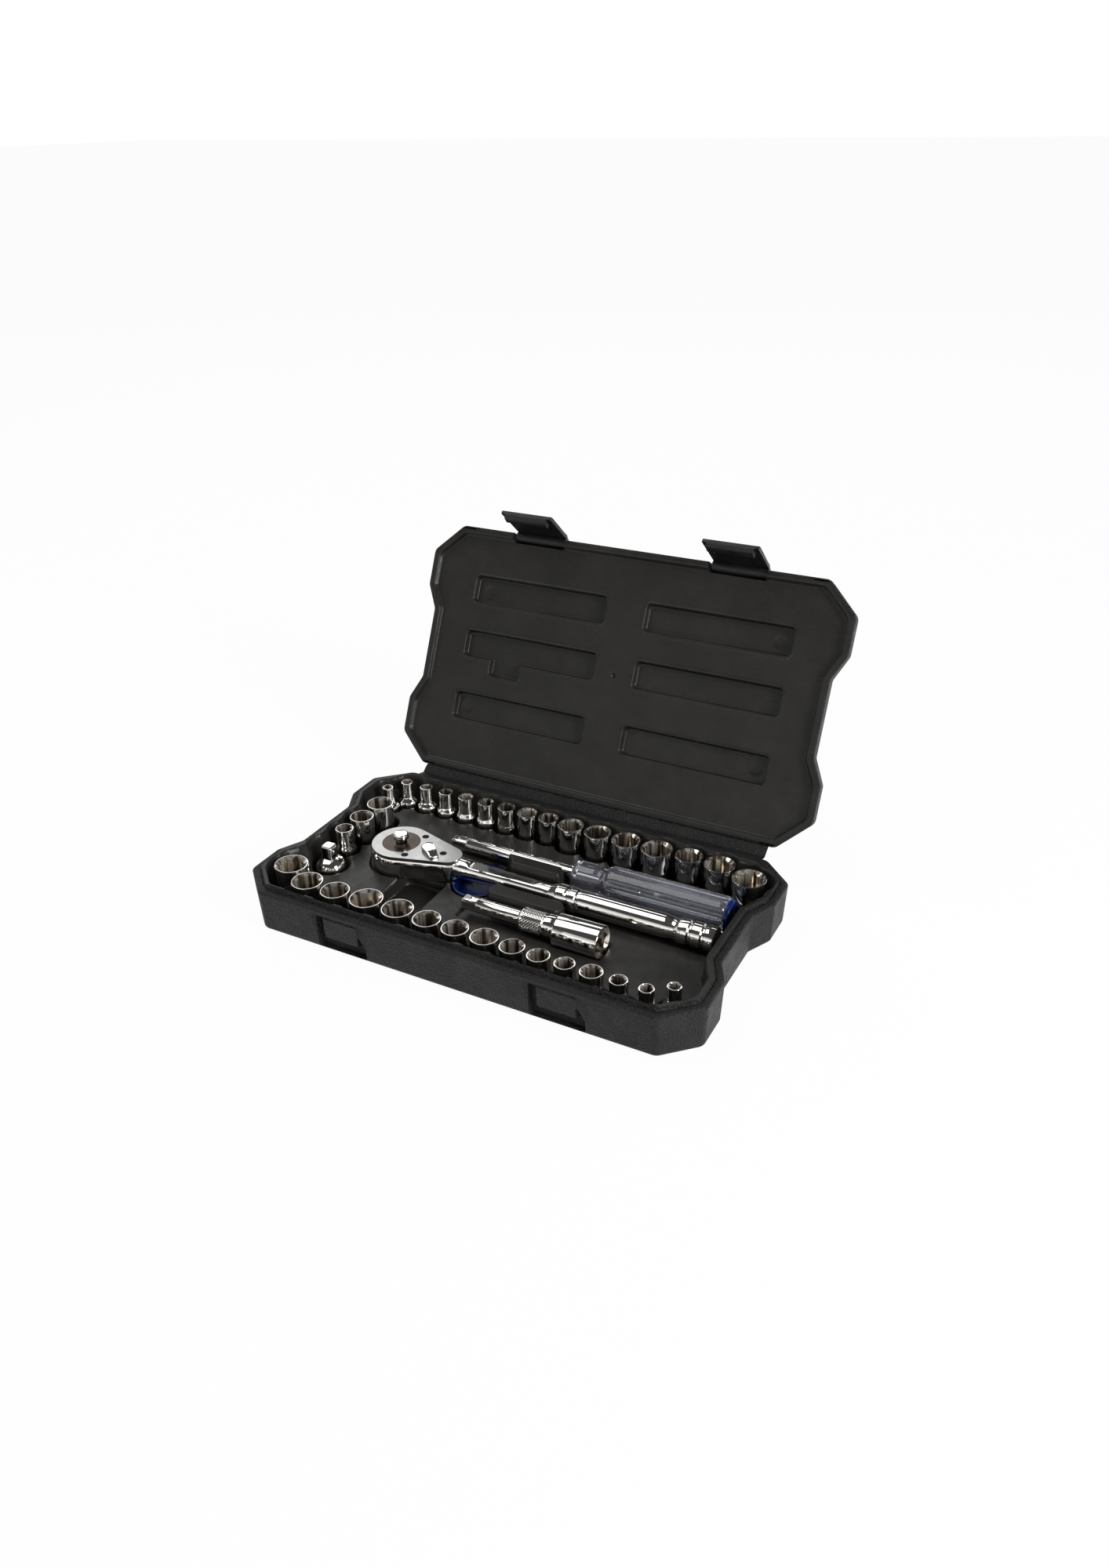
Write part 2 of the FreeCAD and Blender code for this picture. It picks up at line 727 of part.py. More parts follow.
def tray_tools():
    """Everything that is hollowed out of the base."""
    tools = []
    for name, size, spot in socket_plan():
        radius = foot_diameter(size) / 2 + pocket_gap
        tools.append(post(radius, spot[0], spot[1], pocket_floor, mid_floor + 1))
    tools.append(post(adaptor_radius + pocket_gap, adaptor_x, adaptor_y, pocket_floor, mid_floor + 1))
    head = prism(pear_loop(-pocket_gap * 2, head_bottom - running_gap), mid_floor)
    head.translate(vec(ratchet_x, ratchet_y, 0))
    tools.append(head)
    tools.append(post(
        large_square / 2 * math.sqrt(2) + 1.0, ratchet_x, ratchet_y, drive_bottom - running_gap, mid_floor))
    end = ratchet_x + handle_end_x + trough_end_gap
    tools.append(box(ratchet_x + head_tail_x, end, *neck_trough))
    grip = grip_radius + pocket_gap
    shaft_half = spinner_shaft_radius + pocket_gap
    bar_half = extension_head_radius + pocket_gap
    tools.append(rod(grip, grip_start_x - 1.5, grip_end_x + cap_length + 1.0, spinner_y, spinner_z))
    tools.append(box(
        spinner_start_x - 1.5, grip_start_x, spinner_y - shaft_half, spinner_y + shaft_half,
        spinner_z - spinner_shaft_radius - pocket_gap, cut_top))
    tools.append(box(
        extension_start_x - 1.5, lying_start_x, extension_y - bar_half, extension_y + bar_half,
        extension_z - extension_head_radius - running_gap, cut_top))
    lying_radius = socket_diameter(lying_size) / 2 + pocket_gap
    tools.append(rod(
        lying_radius, lying_start_x - 0.7, lying_start_x + socket_height + 0.7, lying_y, lying_z))
    tools.append(oblong(*near_head(grip_well), 4.0, grip_well_floor, cut_top))
    tools.append(bowl_space(0.0))
    return tools


def near_head(plan):
    """Plan box measured from the ratchet head's centre, moved to the tray."""
    x0, x1, y0, y1 = plan
    return x0 + ratchet_x, x1 + ratchet_x, y0 + ratchet_y, y1 + ratchet_y


def bowl_space(wall):
    """Oval finger bowl under the ratchet's neck, smaller by a wall thickness."""
    x0, x1, y0, y1 = near_head(finger_bowl)
    radius = (x1 - x0) / 2 - wall - 0.01
    return oblong(x0 + wall, x1 - wall, y0 + wall, y1 - wall, radius, bowl_floor + wall, cut_top)


def base_shell():
    outer = case_stack([
        (wall_draft + foot_round, 0.0), (wall_draft + foot_round * 0.35, foot_round * 0.3),
        (wall_draft, foot_round), (0.0, base_height - 0.8), (0.5, base_height)])
    rim = case_stack([(rim_inset, base_height), (rim_inset + 0.5, rim_z)])
    well = prism(case_loop(well_inset, mid_floor, well_shift), cut_top)
    solid = cut(join([outer, rim]), [well])
    islands = [
        oblong(*near_head(front_island), island_radius, mid_floor, front_island_top),
        oblong(*near_head(back_island), island_radius, mid_floor, back_island_top)]
    solid = join([solid] + islands)
    zones = [latch_zone_cuts(-latch_x), latch_zone_cuts(latch_x)]
    return cut(solid, tray_tools() + zones)


def blue_bowl():
    """Thin oval liner of the finger bowl, cut away where troughs pass through it."""
    x0, x1, y0, y1 = near_head(finger_bowl)
    radius = (x1 - x0) / 2 - seat_gap - 0.01
    outer = oblong(
        x0 + seat_gap, x1 - seat_gap, y0 + seat_gap, y1 - seat_gap, radius, bowl_floor, mid_floor)
    neck = box(ratchet_x + head_tail_x, x1 + 1, *neck_trough)
    return cut(outer, [bowl_space(bowl_wall), neck])


def bar_recess(side, row, z0, z1):
    near, far = row
    xs = sorted((side * bar_near_x, side * bar_far_x))
    return oblong(xs[0], xs[1], half_depth - far, half_depth - near, bar_radius, z0, z1)


def opened(shape):
    shape.rotate(vec(0, hinge_y, hinge_z), vec(1, 0, 0), -lid_open_angle)
    return shape


def latch_notch(x):
    """Space in the lid's front wall where one latch barrel turns."""
    y, z = latch_pivot
    half = latch_width / 2 + latch_gap
    reach = latch_barrel_radius + latch_gap
    return box(x - half, x + half, -half_depth - 5, y + reach, base_height - 5, z + reach)


def lid_shell():
    """Lid built closed over the base, then swung to its resting angle."""
    outer = case_stack([
        (0.5, base_height), (0.0, base_height + 0.8), (wall_draft * 0.6, lid_top - foot_round),
        (wall_draft * 0.6 + foot_round * 0.35, lid_top - foot_round * 0.3),
        (wall_draft * 0.6 + foot_round, lid_top)])
    tools = [prism(case_loop(lid_flange, base_height), lid_recess)]
    for row in bar_rows:
        for side in (-1, 1):
            tools.append(bar_recess(side, row, panel_z, panel_z + bar_depth))
    tools.append(oblong(
        ratchet_x - button_tab_sides[0], ratchet_x + button_tab_sides[1],
        half_depth - bar_rows[1][0] - 4, ratchet_y + button_tab_reach, bar_radius,
        panel_z, panel_z + bar_depth))
    tools.append(prism(case_loop(panel_margin, lid_top - panel_relief), panel_relief))
    y, z = latch_pivot
    for x in (-latch_x, latch_x):
        tools.append(latch_notch(x))
        half = latch_width / 2 + latch_gap + latch_pin_hold
        tools.append(rod(latch_pin_radius + seat_gap, x - half, x + half, y, z))
    return opened(cut(outer, tools))


def latch_pins():
    y, z = latch_pivot
    half = latch_width / 2 + latch_gap + latch_pin_hold
    pins = [rod(latch_pin_radius, x - half, x + half, y, z) for x in (-latch_x, latch_x)]
    return opened(Part.makeCompound(pins))


def latch(x):
    """Barrel, plate and hook of one latch, closed, then swung out and opened with the lid."""
    y, z = latch_pivot
    x0 = x - latch_width / 2
    x1 = x + latch_width / 2
    inner = -half_depth - latch_gap
    outer = inner - latch_plate
    tip = latch_tip_z
    hook = tip + latch_hook_height
    profile = [
        (inner, z), (inner, hook + 0.5), (inner + latch_hook_reach - 0.6, hook),
        (inner + latch_hook_reach, hook - 0.6),
        (inner + latch_hook_reach - 0.8, tip + 0.8), (inner + 1.2, tip), (outer + 0.8, tip),
        (outer, tip + 1.2), (outer, z - 2.8), (y - latch_barrel_radius - 0.1, z - 1.2),
        (y - 0.7 * latch_barrel_radius, z + 0.7 * latch_barrel_radius)]
    narrow = 2.6
    points = [vec(x0, a, b) for a, b in profile]
    plate = Part.Face(Part.makePolygon(points + points[:1])).extrude(vec(latch_width, 0, 0))
    sides = [
        box(x0 - 1, x0 + narrow, inner + 0.01, 0, -5, hook + 1.5),
        box(x1 - narrow, x1 + 1, inner + 0.01, 0, -5, hook + 1.5)]
    barrel = rod(latch_barrel_radius, x0, x1, y, z)
    bore = rod(latch_pin_radius + running_gap, x0 - 1, x1 + 1, y, z)
    solid = cut(join([plate.cut(Part.makeCompound(sides)), barrel]), [bore])
    solid.rotate(vec(0, y, z), vec(1, 0, 0), -latch_rest_angle)
    return opened(solid)


def hinge_web():
    """Thin moulded strip that joins base and lid and folds along the hinge line."""
    swing = math.radians(lid_open_angle)
    dy = half_depth - hinge_y
    dz = base_height - hinge_z
    corner_y = hinge_y + dy * math.cos(swing) + dz * math.sin(swing)
    corner_z = hinge_z - dy * math.sin(swing) + dz * math.cos(swing)
    out_y = math.sin(swing)
    out_z = math.cos(swing)
    edge = half_depth + seat_gap / 2
    fold = web_thickness / 2
    points = [
        (edge, base_height - 1.0), (hinge_y, hinge_z + fold),
        (corner_y + 0.9 * out_y - 0.06, corner_z + 0.9 * out_z - 0.08),
        (corner_y + 1.7 * out_y - 0.06, corner_z + 1.7 * out_z - 0.08),
        (hinge_y, hinge_z - fold), (edge, base_height - 1.0 - web_thickness)]
    corners = [vec(-web_half_width, y, z) for y, z in points]
    return Part.Face(Part.makePolygon(corners + corners[:1])).extrude(vec(2 * web_half_width, 0, 0))


def all_parts():
    shapes = {
        "base_shell": base_shell(),
        "blue_finger_bowl": blue_bowl(),
        "lid_shell": lid_shell(),
        "hinge_web": hinge_web(),
        "latch_pins": latch_pins(),
        "latch_left": latch(-latch_x),
        "latch_right": latch(latch_x),
        "lying_socket": lying_socket(),
        "spinner_grip": spinner_grip(),
        "spinner_end_cap": spinner_cap()}
    shapes.update(upright_sockets())
    shapes["adaptor"], shapes["adaptor_ball"] = adaptor()
    shapes["extension_bar"], shapes["extension_ball"] = extension_bar()
    shapes["spinner_shaft"], shapes["spinner_ball"] = spinner_shaft()
    shapes.update(ratchet_parts())
    return shapes


def main():
    os.makedirs("parts", exist_ok=True)
    for name, shape in all_parts().items():
        shape.exportStep(os.path.join("parts", name + ".step"))
        print(name, len(shape.Solids), round(shape.Volume, 1))


if __name__ == "__main__":
    main()
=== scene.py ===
# %% [markdown]
# # Socket wrench set in a moulded case
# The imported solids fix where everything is. Here each visible piece gets the form and the surface
# that its own process gives it: soft-edged blow moulding for the case, turned and plated steel for
# the tools, clear moulded acetate for the spinner's grip.

# %% Frame
import math
import bmesh
import bpy
import numpy as np
from mathutils import Matrix, Vector


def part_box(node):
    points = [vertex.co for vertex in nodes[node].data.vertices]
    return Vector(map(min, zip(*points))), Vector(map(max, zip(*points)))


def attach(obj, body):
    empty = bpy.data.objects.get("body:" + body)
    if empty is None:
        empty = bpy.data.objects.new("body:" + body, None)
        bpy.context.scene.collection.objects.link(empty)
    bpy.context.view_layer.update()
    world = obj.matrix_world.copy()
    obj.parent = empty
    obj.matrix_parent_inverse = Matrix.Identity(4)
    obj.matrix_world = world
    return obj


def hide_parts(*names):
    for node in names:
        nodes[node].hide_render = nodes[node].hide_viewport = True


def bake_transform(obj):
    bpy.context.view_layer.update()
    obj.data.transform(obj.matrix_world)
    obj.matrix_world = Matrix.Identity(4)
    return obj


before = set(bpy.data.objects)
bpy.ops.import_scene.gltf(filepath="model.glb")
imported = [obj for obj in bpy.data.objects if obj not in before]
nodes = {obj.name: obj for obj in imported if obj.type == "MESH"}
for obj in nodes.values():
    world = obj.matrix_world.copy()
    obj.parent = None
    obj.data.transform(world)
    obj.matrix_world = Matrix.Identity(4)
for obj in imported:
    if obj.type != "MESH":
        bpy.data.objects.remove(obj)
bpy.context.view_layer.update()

MM = 0.001

# %% [markdown]
# ## Sizes shared by the pieces, in millimetres
# They repeat the part's own values, because the surfaces have to lie on its solids. The lid is
# shaped closed, flat over the base, and every point is then turned about the hinge line.

# %% Sizes
HALF_LENGTH, HALF_DEPTH = 130.0, 72.7
CORNER_X, CORNER_Y = 17.5, 16.8
LOBE_Y, WAIST_Y, WAIST_IN = 34.7, 20.9, 6.7
OUTLINE_RADIUS = 5.0
DRAFT, FOOT = 1.2, 2.4
LEDGE_Z, RIM_Z, MID_Z, POCKET_Z = 24.3, 26.3, 13.0, 2.4
RIM_INSET, WELL_INSET, WELL_SHIFT = 4.5, 9.0, -1.0
PANEL_Z, BAR_Z, LID_TOP = 27.3, 31.3, 36.3
LID_FLANGE = 4.3
HINGE_Y, HINGE_Z, LID_ANGLE = 78.1, 22.0, math.radians(115.5)
LATCH_X, LATCH_WIDTH, LATCH_ANGLE = 61.5, 32.0, math.radians(15.0)
LATCH_Y, LATCH_Z = -71.0, 30.3
HEAD, AXIS_Z = np.array([-73.0, 1.5]), 18.0
HEAD_RADIUS, TAIL_RADIUS, TAIL_X = 17.0, 8.6, 30.0
SPINNER_Y, SPINNER_Z = 25.0, 16.8
EXTENSION_Y, EXTENSION_Z = -24.6, 18.0
LYING_Y, LYING_Z = -25.4, 18.0
SMALL_DRIVE, LARGE_DRIVE = 6.35, 9.53


def box_mm(name):
    """Lowest and highest corner of a node's solid, in millimetres."""
    return [np.array(corner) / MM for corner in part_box(name)]


def tilted(points, y, z, angle):
    """Points turned back about a line along X: y' = y cos a + z sin a and z' = z cos a - y sin a."""
    points = np.array(points, float)
    dy, dz = points[..., 1] - y, points[..., 2] - z
    c, s = math.cos(angle), math.sin(angle)
    points[..., 1], points[..., 2] = y + dy * c + dz * s, z - dy * s + dz * c
    return points


def opened(points):
    """Closed-lid points, turned by the lid's angle about the hinge line to where the lid rests."""
    return tilted(points, HINGE_Y, HINGE_Z, LID_ANGLE)


print("case", 2 * HALF_LENGTH, "by", 2 * HALF_DEPTH, "by", LID_TOP, "mm closed")

# %% [markdown]
# ## Mesh helpers
# Every form is a function of two parameters, sampled on a grid: rows along one, columns along the
# other. A ring closes its columns, so a turned or swept piece has no seam. Spin and Screw could turn
# a profile as well, but a grid also takes rings that change from square to round.

# %% Mesh helpers
def quads(rows, columns, ring_closed, start):
    """Corner numbers of the grid's squares; a closed ring joins its last column to its first."""
    a = np.arange(rows * columns).reshape(rows, columns) + start
    b = np.roll(a, -1, axis=1)
    if not ring_closed:
        a, b = a[:, :-1], a[:, 1:]
    return np.stack([a[:-1], b[:-1], b[1:], a[1:]], axis=-1).reshape(-1, 4)


def piece(name, grids, materials, body, replaced=(), sharp=35.0, ride=True, closed=True,
          fill=False):
    """One mesh from (points, ring closed, material number) grids in millimetres.

    Points that fall together are welded, so a collapsed ring becomes a pole and its squares become
    triangles. A closed piece then has its normals recalculated, and fill caps its open ends first.
    """
    points, faces, paint, start = [], [], [], 0
    for grid, ring_closed, number in grids:
        rows, columns = grid.shape[:2]
        points.append(grid.reshape(-1, 3))
        faces.append(quads(rows, columns, ring_closed, start))
        paint.append(np.full(len(faces[-1]), number))
        start += rows * columns
    points, faces, paint = np.concatenate(points) * MM, np.concatenate(faces), np.concatenate(paint)
    _, first, back = np.unique(np.round(points, 7), axis=0, return_index=True, return_inverse=True)
    points, faces = points[first], back.ravel()[faces]
    same = faces == np.roll(faces, 1, axis=1)
    whole, bent = same.sum(axis=1) == 0, same.sum(axis=1) == 1
    thirds = faces[bent][~same[bent]].reshape(-1, 3)
    mesh = bpy.data.meshes.new(name)
    mesh.from_pydata(points.tolist(), [], faces[whole].tolist() + thirds.tolist())
    paint = np.concatenate([paint[whole], paint[bent]]).astype(np.int32)
    mesh.polygons.foreach_set("material_index", paint)
    if closed:
        work = bmesh.new()
        work.from_mesh(mesh)
        if fill:
            bmesh.ops.holes_fill(work, edges=work.edges[:], sides=0)
        bmesh.ops.recalc_face_normals(work, faces=work.faces)
        work.to_mesh(mesh)
        work.free()
    mesh.polygons.foreach_set("use_smooth", np.ones(len(mesh.polygons), bool))
    mesh.set_sharp_from_angle(angle=math.radians(sharp))
    for material in materials:
        mesh.materials.append(material)
    mesh.update()
    obj = bpy.data.objects.new(name, mesh)
    bpy.context.scene.collection.objects.link(obj)
    if ride:
        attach(obj, body)
    if replaced:
        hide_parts(*replaced)
    return obj


def ring(radius, height, angles):
    """One ring about Z: (r cos t, r sin t, h), where r and h may change with the angle."""
    radius, height = np.broadcast_to(radius, angles.shape), np.broadcast_to(height, angles.shape)
    return np.stack([radius * np.cos(angles), radius * np.sin(angles), height], -1)


def along_x(grid, y, z):
    """Lays a grid that was made about Z along +X, on the line at y, z."""
    return np.stack([grid[..., 2], grid[..., 1] + y, -grid[..., 0] + z], -1)


print("mesh helpers ready")

# %% [markdown]
# ### Soft shapes
# Moulded plastic has no crease. These functions blend heights and distances, so that every edge
# that they make is a small round instead.

# %% Soft shapes
def unit(vectors):
    """Vectors divided by their own lengths."""
    return vectors / np.linalg.norm(vectors, axis=-1, keepdims=True)


def square_radius(t, half, corner):
    """Polar radius of a square of the given half width whose corners are cut by a circle."""
    flat = half / np.maximum(np.abs(np.cos(t)), np.abs(np.sin(t)))
    return np.minimum(flat, half * math.sqrt(2) - corner)


def smooth_min(a, b, k):
    """min(a, b) with its crease rounded: min - h^2 k / 4, where h = max(k - |a - b|, 0) / k."""
    h = np.maximum(k - np.abs(a - b), 0) / k
    return np.minimum(a, b) - h * h * k / 4


def smooth_max(a, b, k):
    """max(a, b) with its crease rounded, as the smooth minimum turned upside down."""
    return -smooth_min(-a, -b, k)


def step(low, high, value):
    """Smooth rise 3t^2 - 2t^3 from 0 at low to 1 at high."""
    t = np.clip((value - low) / (high - low), 0, 1)
    return t * t * (3 - 2 * t)


def above(limit, value, soft=0.4):
    """Rises from 0 to 1 where the value passes a limit, over twice the soft distance."""
    return step(limit - soft, limit + soft, value)


def below(limit, value, soft=0.4):
    """Falls from 1 to 0 where the value passes a limit, over twice the soft distance."""
    return step(limit + soft, limit - soft, value)


print("half way up a soft step:", step(0.0, 1.0, 0.5))

# %% [markdown]
# ## The case outline
# One loop serves the base, the rim, the tray's well and the lid, each moved in by its own inset.
# Corners are arcs, and every inset has the same number of points, so loops can be joined as rows.

# %% Outline
def case_corners(inset):
    """Corners of the case outline, each side moved in by the inset: a corner goes in / cos(turn / 2)."""
    quarter = [(HALF_LENGTH - WAIST_IN, WAIST_Y), (HALF_LENGTH, LOBE_Y),
               (HALF_LENGTH, HALF_DEPTH - CORNER_Y), (HALF_LENGTH - CORNER_X, HALF_DEPTH)]
    right_end = [(x, -y) for x, y in reversed(quarter)] + quarter
    corners = np.array(right_end + [(-x, -y) for x, y in right_end])
    before = corners - np.roll(corners, 1, axis=0)
    after = np.roll(corners, -1, axis=0) - corners
    first = np.arctan2(before[:, 1], before[:, 0])
    turn = np.arctan2(after[:, 1], after[:, 0]) - first
    turn = (turn + np.pi) % (2 * np.pi) - np.pi
    middle = first + turn / 2 + np.pi / 2
    reach = inset / np.cos(turn / 2)
    return corners + reach[:, None] * np.stack([np.cos(middle), np.sin(middle)], -1)


def outline(inset, spacing=0.8, arc_points=7):
    """Closed loop of corner arcs and straight sides, as many points for every inset.

    At a corner of half angle h, the arc of radius R starts R / tan h along each side, and its centre
    lies R / sin h along the bisector. The points of a side are shared out between its two arcs.
    """
    corners = case_corners(inset)
    into = unit(np.roll(corners, 1, axis=0) - corners)
    out = unit(np.roll(corners, -1, axis=0) - corners)
    half = np.arccos(np.clip((into * out).sum(axis=1), -1, 1))[:, None] / 2
    centre = corners + unit(into + out) * OUTLINE_RADIUS / np.sin(half)
    first = corners + into * OUTLINE_RADIUS / np.tan(half)
    last = corners + out * OUTLINE_RADIUS / np.tan(half)
    share = np.linspace(0, 1, arc_points)[:, None]
    rays = (first - centre)[:, None] * (1 - share) + (last - centre)[:, None] * share
    arcs = centre[:, None] + unit(rays) * OUTLINE_RADIUS
    full = case_corners(0.0)
    lengths = np.linalg.norm(np.roll(full, -1, axis=0) - full, axis=1)
    loop = []
    for arc, start, end, length in zip(arcs, last, np.roll(first, -1, axis=0), lengths):
        share = np.linspace(0, 1, max(2, int(length / spacing)))[1:-1, None]
        loop += [arc, start * (1 - share) + end * share]
    return np.concatenate(loop)


def swept(profile, spacing=0.8):
    """Rows of the outline, one for each (inset, z) of the profile."""
    loops = np.array([outline(inset, spacing) for inset, _ in profile])
    heights = np.array([z for _, z in profile])[:, None, None]
    return np.concatenate([loops, np.broadcast_to(heights, loops.shape[:2] + (1,))], axis=-1)


def closed_in(rows, steps=12):
    """Fills a swept form: its last row, drawn in to the middle by a share that falls to nothing."""
    share = np.linspace(1, 0, steps + 1)[1:, None, None] * [1, 1, 0] + [0, 0, 1]
    return np.concatenate([rows, rows[-1] * share])


def half_width(loop, y):
    """Half the loop's width at each y, from its right-hand side."""
    right_side = loop[loop[:, 0] > 0]
    order = np.argsort(right_side[:, 1])
    return np.interp(y, right_side[order, 1], right_side[order, 0])


print("outline points", len(outline(0.0)))

# %% [markdown]
# ### Distances in plan
# Hollows, islands and bars are laid out by signed distance: how far a point lies inside a border.
# Heights that follow such a distance have walls of the same slope all round.

# %% Distances
def inside(x, y, loop):
    """Signed distance to a closed loop, positive inside: the nearest side's, one side at a time."""
    nearest = np.full(x.shape, 1e9)
    odd = np.zeros(x.shape, bool)
    for (ax, ay), (bx, by) in zip(loop, np.roll(loop, -1, axis=0)):
        dx, dy = bx - ax, by - ay
        t = np.clip(((x - ax) * dx + (y - ay) * dy) / max(dx * dx + dy * dy, 1e-9), 0, 1)
        nearest = np.minimum(nearest, (x - ax - t * dx) ** 2 + (y - ay - t * dy) ** 2)
        if by != ay:
            odd ^= ((ay > y) != (by > y)) & (x < dx * (y - ay) / (by - ay) + ax)
    return np.where(odd, 1, -1) * np.sqrt(nearest)


def in_box(x, y, x0, x1, y0, y1, radius):
    """Signed distance to a box with rounded corners, positive inside."""
    px = np.abs(x - (x0 + x1) / 2) - (x1 - x0) / 2 + radius
    py = np.abs(y - (y0 + y1) / 2) - (y1 - y0) / 2 + radius
    return radius - np.hypot(np.maximum(px, 0), np.maximum(py, 0)) - np.minimum(np.maximum(px, py), 0)


def pear_distance(x, y, grow):
    """Signed distance to the ratchet head's outline: two circles and their tangents."""
    big, small = HEAD_RADIUS + grow, TAIL_RADIUS + grow
    px, py = x - HEAD[0], np.abs(y - HEAD[1])
    lean = (big - small) / TAIL_X
    rise = math.sqrt(1 - lean * lean)
    t = px * rise - py * lean
    first = big - np.hypot(px, py)
    last = small - np.hypot(px - TAIL_X, py)
    side = big - (px * lean + py * rise)
    return np.where(t < 0, first, np.where(t > TAIL_X * rise, last, side))


print("distances ready")

# %% [markdown]
# ## Materials
# Colours are written as sRGB and turned linear once. One small helper adds a node and sets its
# inputs. Object coordinates are metres here, so a pattern's scale is one over its size in metres.

# %% Material helpers
def linear(code):
    """Linear RGBA of an sRGB hex colour."""
    values = [int(code[i:i + 2], 16) / 255 for i in (1, 3, 5)]
    return [v / 12.92 if v <= 0.04045 else ((v + 0.055) / 1.055) ** 2.4 for v in values] + [1.0]


def cells(size):
    """Pattern scale, in cells per metre, for cells of a size in millimetres."""
    return 1 / (size * MM)


def add(tree, kind, settings=(), **inputs):
    """Adds one node, sets its properties, and sets or links its inputs by name, or as i0 by number."""
    node = tree.nodes.new(kind)
    for key, value in dict(settings).items():
        setattr(node, key, value)
    for key, value in inputs.items():
        numbered = key[0] == "i" and key[1:].isdigit()
        socket = node.inputs[int(key[1:]) if numbered else key.replace("_", " ")]
        if isinstance(value, bpy.types.NodeSocket):
            tree.links.new(value, socket)
        else:
            socket.default_value = value
    return node


def shader(name, **inputs):
    """A material with one principled shader; returns it with its tree, shader and coordinates."""
    material = bpy.data.materials.new(name)
    material.use_nodes = True
    tree = material.node_tree
    principled = tree.nodes["Principled BSDF"]
    for key, value in inputs.items():
        principled.inputs[key.replace("_", " ")].default_value = value
    place = add(tree, "ShaderNodeTexCoord").outputs["Object"]
    return material, tree, principled, place


def patchy(tree, place, patch, low, high):
    """A value that wanders between low and high, in patches of a size in millimetres."""
    noise = add(tree, "ShaderNodeTexNoise", Vector=place, Scale=cells(patch), Detail=3.0)
    spread = add(tree, "ShaderNodeMapRange", Value=noise.outputs["Fac"], From_Min=0.3, From_Max=0.7,
                 To_Min=low, To_Max=high)
    return spread.outputs["Result"]


print("white, linear:", linear("#ffffff"))

# %% [markdown]
# ### Case plastic
# Black polyethylene, blown into a steel mould. Outside, the mould is etched with a pebble grain of
# about a millimetre, which breaks every highlight into a dull sheen. Inside it is nearly smooth, so
# edges catch a soft line of light. Handling leaves faint grey scuffs.

# %% Case plastic
SCUFF, SHEEN_PATCH = 26.32, 6.25
FINER, FINE_SHARE = 3.1, 0.35


def case_plastic(name, dark, light, grain, strength, rough, gloss, pebble=0.0004):
    """Two near-black tones in soft scuffs, with a bump of pebbles of the given grain in millimetres."""
    material, tree, principled, place = shader(name, Specular_IOR_Level=gloss)
    pebbles = add(tree, "ShaderNodeTexVoronoi", [("feature", "SMOOTH_F1")], Vector=place,
                  Scale=cells(grain), Smoothness=0.6)
    fine = add(tree, "ShaderNodeTexNoise", Vector=place, Scale=FINER * cells(grain), Detail=2.0)
    relief = add(tree, "ShaderNodeMath", [("operation", "MULTIPLY_ADD")], i0=fine.outputs["Fac"],
                 i1=FINE_SHARE, i2=pebbles.outputs["Distance"])
    bump = add(tree, "ShaderNodeBump", Strength=strength, Distance=pebble, Height=relief.outputs[0])
    tree.links.new(bump.outputs["Normal"], principled.inputs["Normal"])
    scuffs = add(tree, "ShaderNodeTexNoise", Vector=place, Scale=cells(SCUFF), Detail=5.0, Roughness=0.62)
    amount = add(tree, "ShaderNodeMapRange", Value=scuffs.outputs["Fac"], From_Min=0.42, From_Max=0.72)
    tone = add(tree, "ShaderNodeMix", [("data_type", "RGBA")], Factor=amount.outputs["Result"],
               i6=linear(dark), i7=linear(light))
    tree.links.new(tone.outputs[2], principled.inputs["Base Color"])
    sheen = patchy(tree, place, SHEEN_PATCH, rough - 0.06, rough + 0.07)
    tree.links.new(sheen, principled.inputs["Roughness"])
    return material


pebbled = case_plastic("black polyethylene, pebble-grained mould", "#1d1d1d", "#262625",
                       grain=1.053, strength=0.90, rough=0.44, gloss=0.18, pebble=0.0008)
smooth_case = case_plastic("black polyethylene, smooth mould", "#1e1d1b", "#252422",
                           grain=1.429, strength=0.12, rough=0.36, gloss=0.24)
latch_plastic = case_plastic("black polypropylene, matt mould", "#191919", "#212121",
                             grain=1.111, strength=0.20, rough=0.42, gloss=0.27)
print("case plastics", pebbled.name, "/", smooth_case.name, "/", latch_plastic.name)

# %% [markdown]
# ### Steels
# Sockets and bars are polished and bright chromed: almost a mirror, with a little haze in patches
# where the polishing wheel changed. The cover plate's satin plate spreads its highlight wide. Dark
# oxide leaves the gear brown-black, and ground pins shine softly. The screws are near black: painted
# shade that stands for dark round recesses.

# %% Steels
HAZE_PATCH = 4.167


def steel(name, colour, low, high):
    """Bare or plated steel, whose roughness wanders between two values in patches of haze."""
    material, tree, principled, place = shader(name, Metallic=1.0, Base_Color=linear(colour))
    tree.links.new(patchy(tree, place, HAZE_PATCH, low, high), principled.inputs["Roughness"])
    return material


chrome = steel("polished steel, bright chrome plate", "#dcdad6", 0.05, 0.10)
satin = steel("brushed steel, satin chrome plate", "#a9a9a8", 0.26, 0.34)
oxide = steel("gear steel, dark oxide", "#4a403b", 0.26, 0.38)
# Near-black screws: painted shade that stands for dark round recesses.
screw_painted_shade = steel("screw steel, near black as painted recess shade", "#1c1b1b", 0.30, 0.42)
ground = steel("ground pin steel", "#a9a9a8", 0.18, 0.28)
print("steels made, chrome roughness 0.05 to 0.10")
